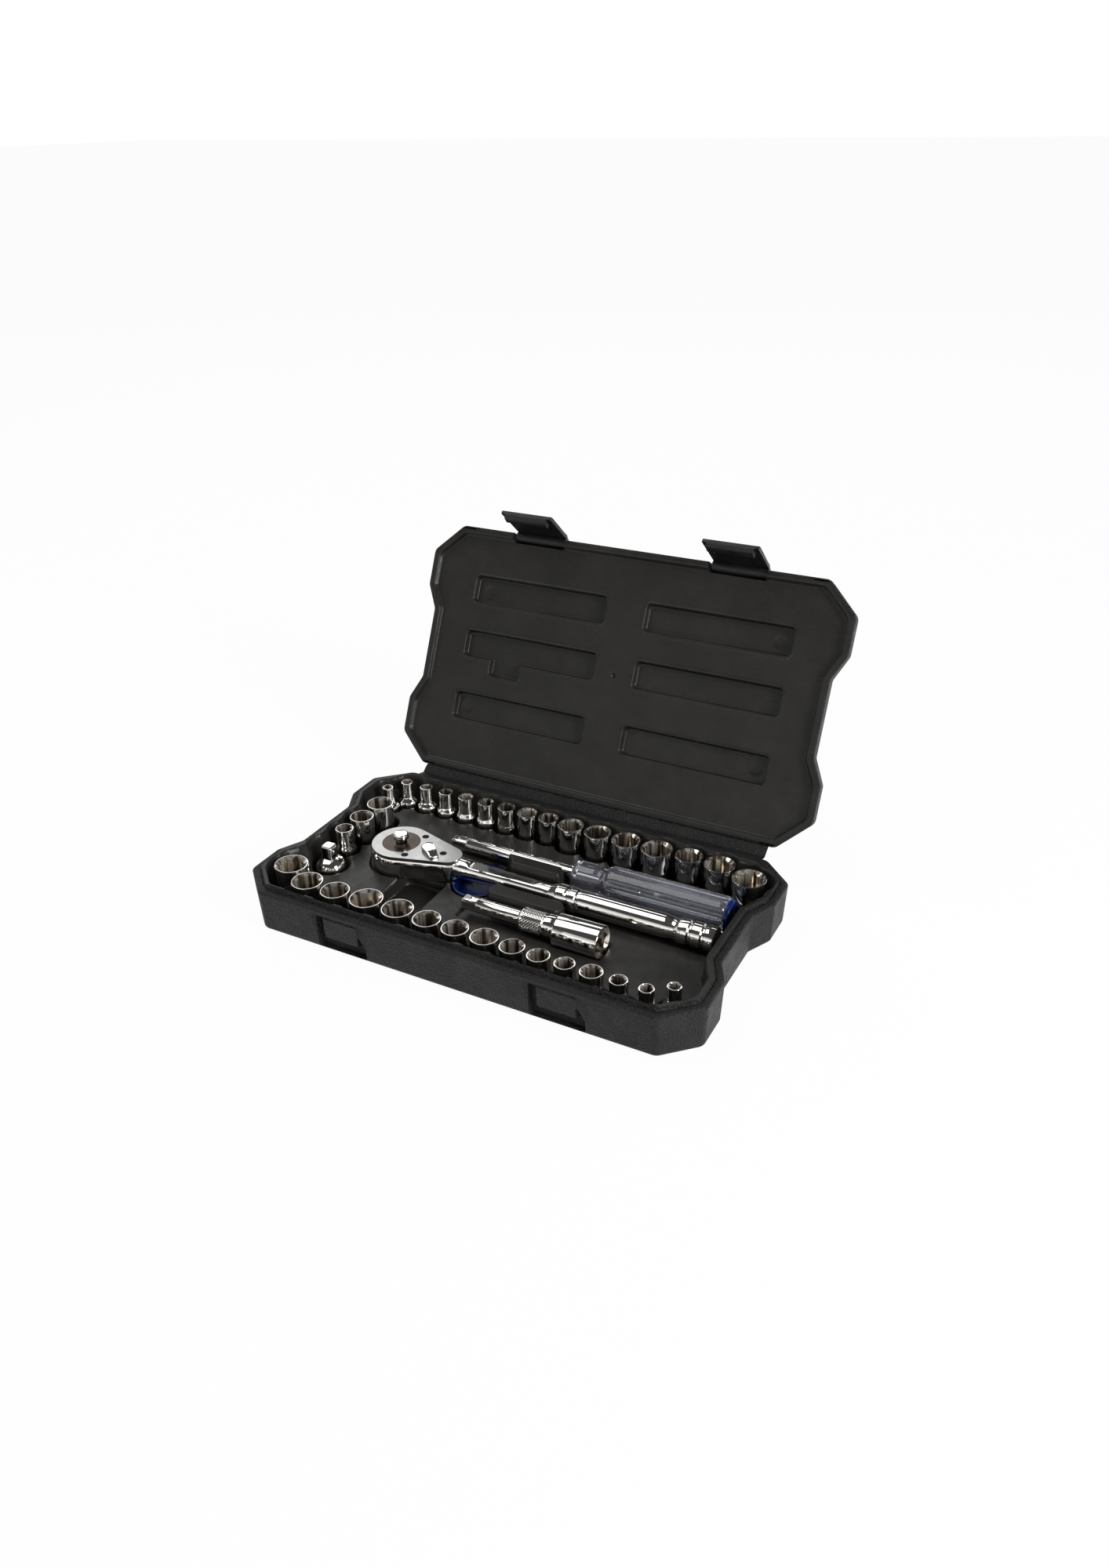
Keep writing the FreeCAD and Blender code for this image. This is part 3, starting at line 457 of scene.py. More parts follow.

# %% [markdown]
# ### Broached mouths
# A broach is pulled through the socket, so its marks run along the hole. Light and warm dark bands,
# some 2 mm wide and twenty times as long, stand partly for the marks and partly, as painted
# reflections, for the facets mirrored in each other. Real marks are finer than the picture can show.
# A trace of oil keeps them from full mirror brightness.

# %% Broached steel
BAND, BAND_STRETCH = 2.326, 0.05
broached, tree, principled, place = shader("broached steel, oiled, painted reflections", Metallic=0.85)
drawn = add(tree, "ShaderNodeVectorMath", [("operation", "MULTIPLY")], i0=place,
            i1=(1.0, 1.0, BAND_STRETCH))
bands = add(tree, "ShaderNodeTexNoise", Vector=drawn.outputs[0], Scale=cells(BAND), Detail=1.0)
contrast = add(tree, "ShaderNodeMapRange", Value=bands.outputs["Fac"], From_Min=0.40, From_Max=0.60)
# The bands' light and dark tones are painted reflections of the facets as well as broach marks.
tone = add(tree, "ShaderNodeMix", [("data_type", "RGBA")], Factor=contrast.outputs["Result"],
           i6=linear("#5d5043"), i7=linear("#f4ede2"))
tree.links.new(tone.outputs[2], principled.inputs["Base Color"])
tree.links.new(patchy(tree, place, HAZE_PATCH, 0.12, 0.20), principled.inputs["Roughness"])
print("broached steel, bands", BAND, "mm wide")

# %% [markdown]
# ### Clear grip and blue plastic
# The grip is cast clear acetate with a smoky violet tint, so its faces show the shaft's tang and
# the dark tray through it. The cap and the finger bowl are glossy blue mouldings, a little cloudy.

# %% Plastics
acetate, tree, principled, place = shader(
    "clear acetate, smoky violet", Base_Color=linear("#d0d3e2"), Transmission_Weight=0.93, IOR=1.47,
    Coat_Weight=0.4)
tree.links.new(patchy(tree, place, 11.11, 0.02, 0.06), principled.inputs["Roughness"])

blue, tree, principled, place = shader("blue styrene, gloss mould", Specular_IOR_Level=0.3)
tone = add(tree, "ShaderNodeMix", [("data_type", "RGBA")], Factor=patchy(tree, place, 8.333, 0.0, 1.0),
           i6=linear("#06194c"), i7=linear("#0b2668"))
tree.links.new(tone.outputs[2], principled.inputs["Base Color"])
tree.links.new(patchy(tree, place, 5.0, 0.22, 0.34), principled.inputs["Roughness"])
print("materials", len(bpy.data.materials))

# %% [markdown]
# ## The tray
# A blow moulding has no sharp corner: its skin is one sheet that dips into every pocket. So the
# tray is a height over the plan, z(x, y), made from signed distances. Each hollow rises steeply
# outside its own loop, and rounded minima and maxima blend the hollows, the islands and the rim.

# %% Tray helpers
def sheet_grid(inset, columns, rows):
    """Grid that fills the outline: x = u w(y), so that its sides follow the loop exactly."""
    loop = outline(inset)
    y = np.linspace(loop[:, 1].min(), loop[:, 1].max(), rows)
    u = np.linspace(-1, 1, columns)
    return u * half_width(loop, y)[:, None], np.repeat(y[:, None], columns, 1)


def hollow(distance, floor, slope=7.0):
    """Height of a hollow: its floor inside the loop, and a steep wall outside it."""
    return floor + slope * smooth_max(-distance - 0.15, 0 * distance, 0.5)


def trough(x, y, x0, x1, axis_y, axis_z, radius, floor):
    """Height of a trough for a tool that lies along X: axis - sqrt(r^2 - dy^2), with steep ends."""
    across = np.clip(np.abs(y - axis_y), 0, radius)
    ends = in_box(x, y, x0, x1, axis_y - radius, axis_y + radius, 1.0)
    return np.maximum(axis_z - np.sqrt(radius ** 2 - across ** 2), hollow(ends, floor))


def socket_boxes():
    """Name, centre, foot radius, floor and top of every upright socket, from its solid."""
    found = []
    for name in sorted(nodes):
        if "_socket_" in name:
            low, high = box_mm(name)
            middle, foot = (low + high) / 2, (high[0] - low[0]) / 2
            found.append((name, middle[0], middle[1], foot, low[2], high[2]))
    return found


print("upright sockets", len(socket_boxes()))

# %% [markdown]
# ### The tray's layout
# Islands stand up between the tools, and every tool has a hollow under it, a little wider than
# itself. The list gives each box from left to right and front to back.

# %% Tray
ISLANDS = [(-9.0, 33.0, -17.5, -6.3, 21.5), (-15.0, 19.5, 9.3, 20.5, 23.8)]
ISLAND_CORNER, ISLAND_SLOPE, ISLAND_ROOT = 5.0, 6.0, 1.6
TRAY_COLUMNS, TRAY_ROWS, COARSE = 404, 220, 8.0
WELL_SLOPE, RIM_ROUND_OVER, POCKET_BLEND, TROUGH_BLEND = 9.0, 1.0, 0.9, 0.8
SOCKET_ROOM, ADAPTOR_POCKET, DRIVE_POCKET, HEAD_ROOM = 0.5, 8.75, 7.7, 1.0
HEAD_FLOOR, DRIVE_FLOOR = 11.0, 2.0
BOX_HOLLOWS = [(-43.0, 113.2, -5.9, 8.9, 2.0, 11.0),     # ratchet's handle
               (-55.5, 22.0, 20.5, 29.5, 2.0, 12.3),     # spinner's shaft
               (-18.5, 38.4, -31.3, -17.9, 2.0, 11.5),   # extension bar
               (-64.0, -39.0, -42.5, -7.5, 4.0, 5.0),    # free corner
               (-37.0, -11.0, -14.0, 18.5, 12.9, 5.8)]   # finger bowl
x, y = sheet_grid(RIM_INSET + 0.5, TRAY_COLUMNS, TRAY_ROWS)
well = outline(WELL_INSET, spacing=COARSE) + [0.0, WELL_SHIFT]
well_height = hollow(inside(x, y, well), MID_Z, WELL_SLOPE)
z = smooth_min(np.full(x.shape, RIM_Z), well_height, RIM_ROUND_OVER)
for *box, top in ISLANDS:
    island = in_box(x, y, *box, ISLAND_CORNER)
    z = smooth_max(z, top - ISLAND_SLOPE * smooth_max(-island, 0 * island, 0.6), ISLAND_ROOT)
adaptor_low, adaptor_high = box_mm("adaptor")
adaptor_x, adaptor_y = (adaptor_low[:2] + adaptor_high[:2]) / 2
hollows = [(foot + SOCKET_ROOM - np.hypot(x - cx, y - cy), POCKET_Z)
           for _, cx, cy, foot, _, _ in socket_boxes()]
hollows += [(ADAPTOR_POCKET - np.hypot(x - adaptor_x, y - adaptor_y), POCKET_Z),
            (pear_distance(x, y, HEAD_ROOM), HEAD_FLOOR),
            (DRIVE_POCKET - np.hypot(x - HEAD[0], y - HEAD[1]), DRIVE_FLOOR)]
hollows += [(in_box(x, y, *box), floor) for *box, floor in BOX_HOLLOWS]
for distance, floor in hollows:
    z = smooth_min(z, hollow(distance, floor), POCKET_BLEND)
grip_trough = trough(x, y, 20.5, 112.6, SPINNER_Y, SPINNER_Z, radius=10.5, floor=4.0)
lying_trough = trough(x, y, 37.7, 63.5, LYING_Y, LYING_Z, radius=9.2, floor=6.0)
z = smooth_min(z, grip_trough, TROUGH_BLEND)
z = smooth_min(z, lying_trough, TROUGH_BLEND)
tray = piece("tray_skin", [(np.stack([x, y, z], -1), False, 0)], [smooth_case], "base",
             ["base_shell"], sharp=80.0, closed=False)
print("tray heights", z.min().round(2), z.max().round(2), "faces", len(tray.data.polygons))

# %% [markdown]
# ## The base's outside
# The wall is the outline swept down a profile: rim step, ledge, drafted wall, rounded foot. At each
# latch the front wall is pressed in round a catch block, with grooves at its sides and a pocket
# under it for the hook. Booleans could cut these, but pressing the grid keeps their edges soft.

# %% Base wall
CATCH_HALF, CATCH_LOW, CATCH_TOP = 10.5, 8.0, 20.0
ZONE_HALF, ZONE_TOP, ZONE_DEEP = 16.65, 20.95, 0.8
PRESS_HALF, PRESS_LOW, PRESS_DEEP = 14.5, 1.6, 4.6
WALL_TOP = LEDGE_Z - 1.0


def latch_press(x, z):
    """How far the wall is pressed in: a shallow zone, less its block, plus pocket, groove and notch."""
    offset = np.where(x > 0, x - LATCH_X, x + LATCH_X)
    aside, over_foot = np.abs(offset), above(PRESS_LOW, z)
    zone = ZONE_DEEP * below(ZONE_HALF, aside, 0.35) * below(ZONE_TOP, z, 0.35) * over_foot
    block = below(CATCH_HALF, aside) * above(CATCH_LOW, z) * below(CATCH_TOP, z)
    pocket = below(PRESS_HALF, aside) * below(CATCH_LOW, z) * over_foot
    groove = above(-PRESS_HALF, offset) * below(-CATCH_HALF, offset) * below(CATCH_TOP, z) * over_foot
    reach = PRESS_HALF - 4.0 * (z - CATCH_LOW) / 6.0
    notch = above(CATCH_HALF, offset) * below(reach, offset) * above(CATCH_LOW, z)
    deep = np.maximum(np.maximum(pocket, groove), notch)
    return zone * (1 - block) * (1 - deep) + PRESS_DEEP * deep


foot_angles = np.linspace(0.2, math.pi / 2, 6)
wall_rows = [(RIM_INSET + 0.5, RIM_Z), (RIM_INSET + 0.35, RIM_Z - 0.05), (RIM_INSET + 0.15, RIM_Z - 0.25),
             (RIM_INSET, RIM_Z - 0.7), (RIM_INSET - 0.1, LEDGE_Z + 0.1), (RIM_INSET - 0.35, LEDGE_Z - 0.25),
             (RIM_INSET - 0.8, LEDGE_Z), (3.0, LEDGE_Z), (2.0, LEDGE_Z), (1.2, LEDGE_Z - 0.05),
             (0.6, LEDGE_Z - 0.2), (0.2, LEDGE_Z - 0.6)]
wall_rows += [(DRAFT * (WALL_TOP - level) / (WALL_TOP - FOOT), level)
              for level in np.linspace(WALL_TOP, FOOT, 36)]
wall_rows += [(DRAFT + FOOT * (1 - math.cos(a)), FOOT * (1 - math.sin(a))) for a in foot_angles]
wall_rows += [(7.0, 0.0)]
wall = swept(wall_rows, 0.6)
press = latch_press(wall[..., 0], wall[..., 2])
in_front = (wall[..., 1] < -HALF_DEPTH + 6.0) & (wall[..., 2] < LEDGE_Z + 0.05)
pressed = np.maximum(wall[..., 1], -HALF_DEPTH + press)
wall[..., 1] = np.where(in_front & (press > 0.02), pressed, wall[..., 1])
base_wall = piece("base_wall", [(closed_in(wall)[:, ::-1], True, 0)], [pebbled], "base",
                  ["base_shell"], sharp=60.0, closed=False)
print("base wall faces", len(base_wall.data.polygons))

# %% [markdown]
# ## The lid's inside
# A flange runs round a recessed panel, and six long bars stand deeper still, with a tab that clears
# the ratchet's button. As in the tray, a height over the plan gives one sheet. Its grid lines crowd
# at the bars' edges, so that the edges stay crisp without a fine grid everywhere.

# %% Lid inside
BAR_ROWS = [(31.5, 47.2), (69.3, 84.6), (102.0, 117.5)]
BAR_ENDS = [(-98.8, -12.5), (12.5, 98.8)]
TAB, BAR_CORNER = (-80.0, -60.0, -0.6, 12.7), 2.4
LID_EDGE, PLAIN_X, GRID_SPACING = 0.9, 104.0, 0.8
NOTCH_HALF, NOTCH_Y, NOTCH_DEEP = 16.6, -67.2, 9.6
MOULD_MARKS = [(-92.0, 33.7), (92.0, 33.7), (-91.0, -36.3), (91.0, -36.3)]


def edge_lines(low, high, edges):
    """Evenly spaced grid lines, with a cluster of close ones at each edge so that it stays crisp."""
    crowded = np.add.outer(np.array(edges), [-1.45, -0.95, -0.6, -0.25, 0.05, 0.35, 0.65]).ravel()
    even = np.linspace(low, high, int((high - low) / GRID_SPACING))
    clear = np.abs(even[:, None] - crowded).min(axis=1) > 0.45
    clear[[0, -1]] = True
    return np.unique(np.concatenate([even[clear], crowded]))


lid_loop = outline(LID_EDGE)
lid_y = edge_lines(lid_loop[:, 1].min(), lid_loop[:, 1].max(),
                   [HALF_DEPTH - edge for row in BAR_ROWS for edge in row] + list(TAB[2:]))
plain_x = edge_lines(-PLAIN_X, PLAIN_X, [end for ends in BAR_ENDS for end in ends] + list(TAB[:2]))
end_share = np.linspace(0, 1, 40)[1:]
end_x = PLAIN_X + (half_width(lid_loop, lid_y)[:, None] - PLAIN_X) * end_share
x = np.concatenate([-end_x[:, ::-1], np.repeat(plain_x[None], len(lid_y), 0), end_x], axis=1)
y = np.repeat(lid_y[:, None], x.shape[1], 1)
bars = in_box(x, y, *TAB, BAR_CORNER)
for near, far in BAR_ROWS:
    for x0, x1 in BAR_ENDS:
        bars = np.maximum(bars, in_box(x, y, x0, x1, HALF_DEPTH - far, HALF_DEPTH - near, BAR_CORNER))
depth = (PANEL_Z - LEDGE_Z) * step(-0.5, 0.6, inside(x, y, outline(LID_FLANGE, spacing=COARSE)))
depth += (BAR_Z - PANEL_Z) * step(-0.25, 0.65, bars)
depth -= 0.3 * step(-1.5, -0.9, bars) * step(-0.15, -0.6, bars)  # a low bead round each bar
for mark_x, mark_y in MOULD_MARKS:
    depth += 0.35 * step(3.6, 2.9, np.hypot(x - mark_x, y - mark_y))
depth += 1.6 * step(1.5, 0.8, np.hypot(x, y + 1.2))  # a small dimple in the middle
from_latch = np.minimum(np.abs(x - LATCH_X), np.abs(x + LATCH_X))
in_notch = (from_latch < NOTCH_HALF) & (y < NOTCH_Y)
rim = 0.25 * step(1.6, 0.0, inside(x, y, outline(LID_EDGE, spacing=COARSE)))
inner_face = np.stack([x, y, LEDGE_Z + np.where(in_notch, NOTCH_DEEP, depth + rim)], -1)
lid_inner = piece("lid_inner_skin", [(opened(inner_face)[:, ::-1], False, 0)], [smooth_case], "lid",
                  ["lid_shell"], sharp=80.0, closed=False)
print("lid inside faces", len(lid_inner.data.polygons))

# %% [markdown]
# ## The lid's outside
# The outline is swept up a drafted wall, over a rounded edge, to a shallow panel that stiffens the
# face. The front wall steps back at each latch, to leave room for the latch's barrel.

# %% Lid outside
LID_DRAFT, LID_WALL_LOW, LID_WALL_TOP = 0.72, LEDGE_Z + 0.9, LID_TOP - FOOT
lid_rows = [(LID_EDGE, LEDGE_Z + 0.25), (0.4, LEDGE_Z + 0.4), (0.1, LID_WALL_LOW)]
lid_rows += [(LID_DRAFT * (level - LID_WALL_LOW) / (LID_WALL_TOP - LID_WALL_LOW), level)
             for level in np.linspace(LEDGE_Z + 1.3, LID_WALL_TOP, 14)]
lid_rows += [(LID_DRAFT + FOOT * (1 - math.cos(a)),
              LID_TOP - FOOT * (1 - math.sin(a)) - 0.38 * math.sin(2 * a)) for a in foot_angles]
lid_rows += [(12.0, LID_TOP), (21.4, LID_TOP), (21.8, LID_TOP - 0.1), (22.6, LID_TOP - 0.7),
             (23.0, LID_TOP - 0.8)]
shell = swept(lid_rows)
from_latch = np.minimum(np.abs(shell[..., 0] - LATCH_X), np.abs(shell[..., 0] + LATCH_X))
in_notch = (from_latch < NOTCH_HALF) & (shell[..., 1] < NOTCH_Y) & (shell[..., 2] < LID_WALL_TOP)
shell[..., 1] = np.where(in_notch, NOTCH_Y, shell[..., 1])
shell[..., 2] = np.where(in_notch, np.maximum(shell[..., 2], PANEL_Z), shell[..., 2])
lid_outer = piece("lid_outer_skin", [(opened(closed_in(shell)), True, 0)], [pebbled], "lid",
                  ["lid_shell"], sharp=60.0, closed=False)
print("lid outside faces", len(lid_outer.data.polygons))

# %% [markdown]
# ## Hinge web
# The web is a thin strip moulded with the case, which bends where the lid turns. Its listed section
# runs from the base round the hinge line to the open lid's turned corner. It is one section, drawn along X.

# %% Hinge web
WEB_HALF, WEB_THICK = 109.0, 0.9
lid_corner = opened([0.0, HALF_DEPTH, LEDGE_Z])[1:]
outward = np.array([math.sin(LID_ANGLE), math.cos(LID_ANGLE)])
upper = [(72.4, 23.45), (74.5, 23.1), (76.4, 22.7), (77.5, 22.42), (77.9, 22.15), (78.1, 22.05),
         (78.3, 22.2), (78.7, 22.6), (79.6, 23.3), (81.0, 24.3), tuple(lid_corner + outward * WEB_THICK)]
lower = [tuple(lid_corner + outward * 2 * WEB_THICK), (81.6, 23.7), (80.2, 22.6), (79.0, 21.8),
         (78.1, 21.5), (77.0, 21.7), (75.0, 22.2), (72.4, 22.6)]
section = np.array(upper + lower)
strip_x = np.linspace(-WEB_HALF, WEB_HALF, 110)
strip = np.stack([np.column_stack([np.full(len(section), sx), section]) for sx in strip_x])
web = piece("hinge_strip", [(strip, True, 0)], [pebbled], "base", ["hinge_web"],
            sharp=50.0, ride=False)
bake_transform(web)
print("hinge web faces", len(web.data.polygons))

# %% [markdown]
# ## Latches
# A latch is an extruded profile: barrel, plate and inturned hook. The hook is a little narrower than
# the plate, so the outer rows use the profile without it. The first and last rows are pulled towards
# the middle, which rounds the ends, and the open ends are then capped.

# %% Latches
INNER, OUTER, TIP, HOOK = -73.1, -75.3, 2.0, 7.4
BARREL_RADIUS, HOOK_SHORT = 3.2, 2.8
END_ROWS = [(0.0, 0.55), (0.15, 0.2), (0.5, 0.0), (2.7, 0.0)]
barrel = [(LATCH_Y + BARREL_RADIUS * math.cos(a), LATCH_Z + BARREL_RADIUS * math.sin(a))
          for a in np.radians(np.linspace(135, -132, 20))]
side = [(INNER, LATCH_Z - 3.6), (INNER, HOOK + 1.0), (INNER + 0.5, HOOK + 0.4), (INNER + 2.5, HOOK),
        (INNER + 3.1, HOOK - 0.3), (INNER + 3.2, HOOK - 0.8), (INNER + 2.6, TIP + 1.0),
        (INNER + 1.8, TIP + 0.2), (INNER + 1.2, TIP), (OUTER + 1.0, TIP), (OUTER + 0.3, TIP + 0.4),
        (OUTER, TIP + 1.2)]
side += [(OUTER, level) for level in np.linspace(5.0, LATCH_Z - 3.0, 12)]
side += [(OUTER + 0.15, LATCH_Z - 2.3), (OUTER + 0.95, LATCH_Z - 1.2), (OUTER + 1.15, LATCH_Z - 0.4),
         (OUTER + 1.4, LATCH_Z + 0.8)]
hooked = np.array(barrel + side)
inner_hook = (hooked[:, 1] < HOOK + 1.5) & (hooked[:, 0] > INNER)
unhooked = np.where(inner_hook[:, None], np.column_stack([np.full(len(hooked), INNER), hooked[:, 1]]), hooked)
half = LATCH_WIDTH / 2
rows = [(gap - half, pull, unhooked) for gap, pull in END_ROWS]
rows += [(HOOK_SHORT - half, 0.0, hooked), (half - HOOK_SHORT, 0.0, hooked)]
rows += [(half - gap, pull, unhooked) for gap, pull in reversed(END_ROWS)]


def latch_row(x, pull, form):
    """One section of the latch at x, each point pulled towards the profile's middle."""
    pulled = form + unit(hooked.mean(axis=0) - form) * pull
    return np.column_stack([np.full(len(form), x), pulled])


for name, latch_x in [("left", -LATCH_X), ("right", LATCH_X)]:
    grid = np.array([latch_row(latch_x + reach, pull, form) for reach, pull, form in rows])
    grid = opened(tilted(grid, LATCH_Y, LATCH_Z, LATCH_ANGLE))
    latch = piece("latch_%s_form" % name, [(grid, True, 0)], [latch_plastic], "latch_" + name,
                  ["latch_" + name], sharp=40.0, fill=True)
    print(latch.name, "faces", len(latch.data.polygons))

# %% [markdown]
# ## Sockets
# A socket is turned outside and broached inside. Its rim is rounded, a conical lead-in cuts the
# corners off the hexagon at the mouth, and small sizes have a narrow nose on a wider drive end.
# The broach relieves the hexagon's corners, so that a bolt's own corners are spared.

# %% Socket form
COUNT = 72
around = np.linspace(0, 2 * np.pi, COUNT, endpoint=False)
MOUTH_DEEP, DRIVE_DEEP, NOSE_LONG, SHOULDER = 12.0, 9.0, 9.0, 3.5
RIM_ROUND, LEAD_IN, LEAD_SLOPE, CORNER_RELIEF = 0.35, 0.55, 0.8, 0.3
LARGE_NOSE, BORE_SHARE = 16.4, 0.3


def mouth_radius(t, size, twelve):
    """Polar radius of a relieved hexagon, size / 2 / cos of the flat's angle, or of two 30 degrees apart."""
    def hexagon(a):
        """Distance from the middle to the nearest flat's line, along the angle."""
        return size / 2 / np.cos(a % (np.pi / 3) - np.pi / 6)
    first = hexagon(t + np.pi / 6)
    if twelve:
        return np.maximum(first, hexagon(t))
    from_corner = np.degrees(np.abs(t % (np.pi / 3) - np.pi / 6))
    return first + CORNER_RELIEF * step(9.0, 1.5, from_corner)


def socket_grids(size, foot, height, twelve):
    """Rings of a socket that stands on z = 0: its drive hole, outside and rim, and then its mouth.

    The wall over the flats is 0.15 of the size and 0.6 mm more, which gives the nose. A shoulder of
    r = foot + (nose - foot) s, with s a smooth step, leads to it from a wider foot.
    """
    nose = (size * 1.3 + 1.2) / 2
    drive = LARGE_DRIVE if nose * 2 >= LARGE_NOSE else SMALL_DRIVE
    bore = BORE_SHARE * min(size, drive)
    wall = square_radius(around, drive / 2, 0.25)
    mouth_floor = height - MOUTH_DEEP
    outside = [(bore, mouth_floor), (bore, DRIVE_DEEP), (wall, DRIVE_DEEP), (wall, 0.4),
               (np.minimum(wall + 0.4, foot - 0.5), 0.0), (foot - 0.6, 0.0), (foot - 0.15, 0.15), (foot, 0.6)]
    if nose < foot - 0.05:
        f = np.linspace(0, 1, 7)
        outside += zip(foot + (nose - foot) * step(0, 1, f), height - NOSE_LONG - SHOULDER * (1 - f))
    a = np.linspace(0, np.pi / 2, 4)
    outside += zip(nose - RIM_ROUND * (1 - np.cos(a)), height - RIM_ROUND * (1 - np.sin(a)))
    lead = nose - LEAD_IN
    outside += [(lead, height)]
    inner = np.minimum(mouth_radius(around, size, twelve), lead)
    mouth = [(lead, height), (inner, height - 0.1 - (lead - inner) * LEAD_SLOPE), (inner, mouth_floor),
             (bore, mouth_floor)]
    return [np.array([ring(radius, h, around) for radius, h in part]) for part in (outside, mouth)]


print("rings of a 10 mm socket", [len(grid) for grid in socket_grids(10.0, 7.1, 25.0, False)])

# %% [markdown]
# ### The set of sockets
# Each size is the width across flats in millimetres. The places, feet and heights come from the
# solids, so only the mouths are listed here.

# %% Sockets
SIZES = {"back": [4, 4.5, 5, 5.5, 6, 6.35, 7, 7.94, 8, 10.3, 10.7, 11.5, 12.5, 10.7, 12, 13],
         "front": [13, 12, 11, 12.7, 12, 10.5, 10, 10.3, 9, 8, 7.14, 8, 6, 5, 4.5],
         "left": [7, 9.53, 10.7]}
LYING_SIZE = 12.5
TWELVE = ("front_socket_12", "left_socket_02", "left_socket_03")
for name, cx, cy, foot, low, high in socket_boxes():
    row, _, number = name.split("_")
    grids = socket_grids(SIZES[row][int(number) - 1], foot, high - low, name in TWELVE)
    piece(name + "_form", [(grid + np.array([cx, cy, low]), True, paint) for paint, grid in enumerate(grids)],
          [chrome, broached], name, [name], sharp=28.0)
low, high = box_mm("lying_socket")
grids = socket_grids(LYING_SIZE, (high[1] - low[1]) / 2, high[0] - low[0], False)
grids = [along_x(grid + np.array([0, 0, low[0]]), LYING_Y, LYING_Z) for grid in grids]
piece("lying_socket_form", [(grid, True, paint) for paint, grid in enumerate(grids)], [chrome, broached],
      "lying_socket", ["lying_socket"], sharp=28.0)
print("sockets", len(socket_boxes()) + 1)

# %% [markdown]
# ## Adaptor
# Bars change from square to round along their length: each ring has either the polar radius of a
# square or that of a circle, and the mesh joins them. The adaptor is a turned dome with a square
# stud on it.

# %% Adaptor
DRIVE_CORNER = 0.5
square = square_radius(around, SMALL_DRIVE / 2, DRIVE_CORNER)


def rings(sections, count=COUNT):
    """Grid about Z from (height, radius or radii) sections, closed to a point at both ends."""
    angles = np.linspace(0, 2 * np.pi, count, endpoint=False)
    sections = [(sections[0][0], 0.0), *sections, (sections[-1][0], 0.0)]
    return np.array([ring(radius, float(h), angles) for h, radius in sections])


stud_top = adaptor_high[2]
dome = [(POCKET_Z, 7.9), (POCKET_Z + 0.4, 8.25), (13.0, 8.25), (13.6, 8.2), (14.6, 7.85), (15.6, 7.3),
        (16.5, 6.5), (17.2, 5.6), (17.7, 4.7), (17.95, 4.0)]
stud = [(18.1, square * 1.03), (18.4, square), (stud_top - 0.8, square), (stud_top - 0.2, square * 0.9),
        (stud_top, square * 0.82)]
grid = rings(dome + stud) + np.array([adaptor_x, adaptor_y, 0])
piece("adaptor_form", [(grid, True, 0)], [chrome], "adaptor", ["adaptor"], sharp=30.0)
print("adaptor rings", len(grid))

# %% [markdown]
# ## Extension bar
# The bar has a square end, a round shaft and a knurled head with a square hole. The knurl is two
# families of grooves that cross as diamonds, cut into the mesh itself, because they show at the
# head's edge.

# %% Extension bar
KNURL_GROOVES, KNURL_LEAD, KNURL_DEEP = 24, 1.6, 0.5
KNURL_LOW, KNURL_HIGH, KNURL_RADIUS = 18.8, 30.4, 6.2
KNURL_COUNT = 8 * KNURL_GROOVES
fine = np.linspace(0, 2 * np.pi, KNURL_COUNT, endpoint=False)


def knurl(h):
    """Radius less two sets of grooves, each a triangle wave of the angle plus or less h / lead."""
    turn = KNURL_GROOVES * fine / (2 * np.pi)
    first = np.abs((turn + h / KNURL_LEAD) % 1 - 0.5) * 2
    second = np.abs((turn - h / KNURL_LEAD) % 1 - 0.5) * 2
    fade = step(KNURL_LOW, KNURL_LOW + 0.4, h) * step(KNURL_HIGH, KNURL_HIGH - 0.4, h)
    return KNURL_RADIUS - KNURL_DEEP * (1 - np.minimum(first, second)) * fade


fine_square = square_radius(fine, SMALL_DRIVE / 2, DRIVE_CORNER)
sections = [(-17.0, fine_square * 0.84), (-16.8, fine_square * 0.92), (-16.2, fine_square),
            (-8.9, fine_square), (-8.4, 3.7), (-7.8, 4.0), (16.4, 4.0), (17.2, 4.7), (18.1, 6.0),
            (18.5, KNURL_RADIUS)]
sections += [(h, knurl(h)) for h in np.linspace(KNURL_LOW, KNURL_HIGH, 59)]
sections += [(30.8, 6.2), (31.2, 5.8), (31.9, 5.8), (32.3, 6.2), (36.5, 6.2), (36.85, 6.0), (37.0, 5.7)]
hole = np.minimum(fine_square * 1.01, 4.7)
bar_outside = rings(sections, KNURL_COUNT)[:-1]
bar_hole = rings([(37.0, 5.7), (37.0, hole), (28.0, hole)], KNURL_COUNT)[1:]
extension = piece("extension_form", [(along_x(grid, EXTENSION_Y, EXTENSION_Z), True, 0)
                                     for grid in (bar_outside, bar_hole)],
                  [chrome], "extension", ["extension_bar"], sharp=30.0)
print("extension faces", len(extension.data.polygons))

# %% [markdown]
# ## Spinner
# A chrome shaft with a square end runs into the clear grip as a square tang, which shows through
# it. Six long flutes are pressed into the grip, which swells from a narrow front collar: its radius
# is the turned profile less a rounded flute depth that fades out at both ends.

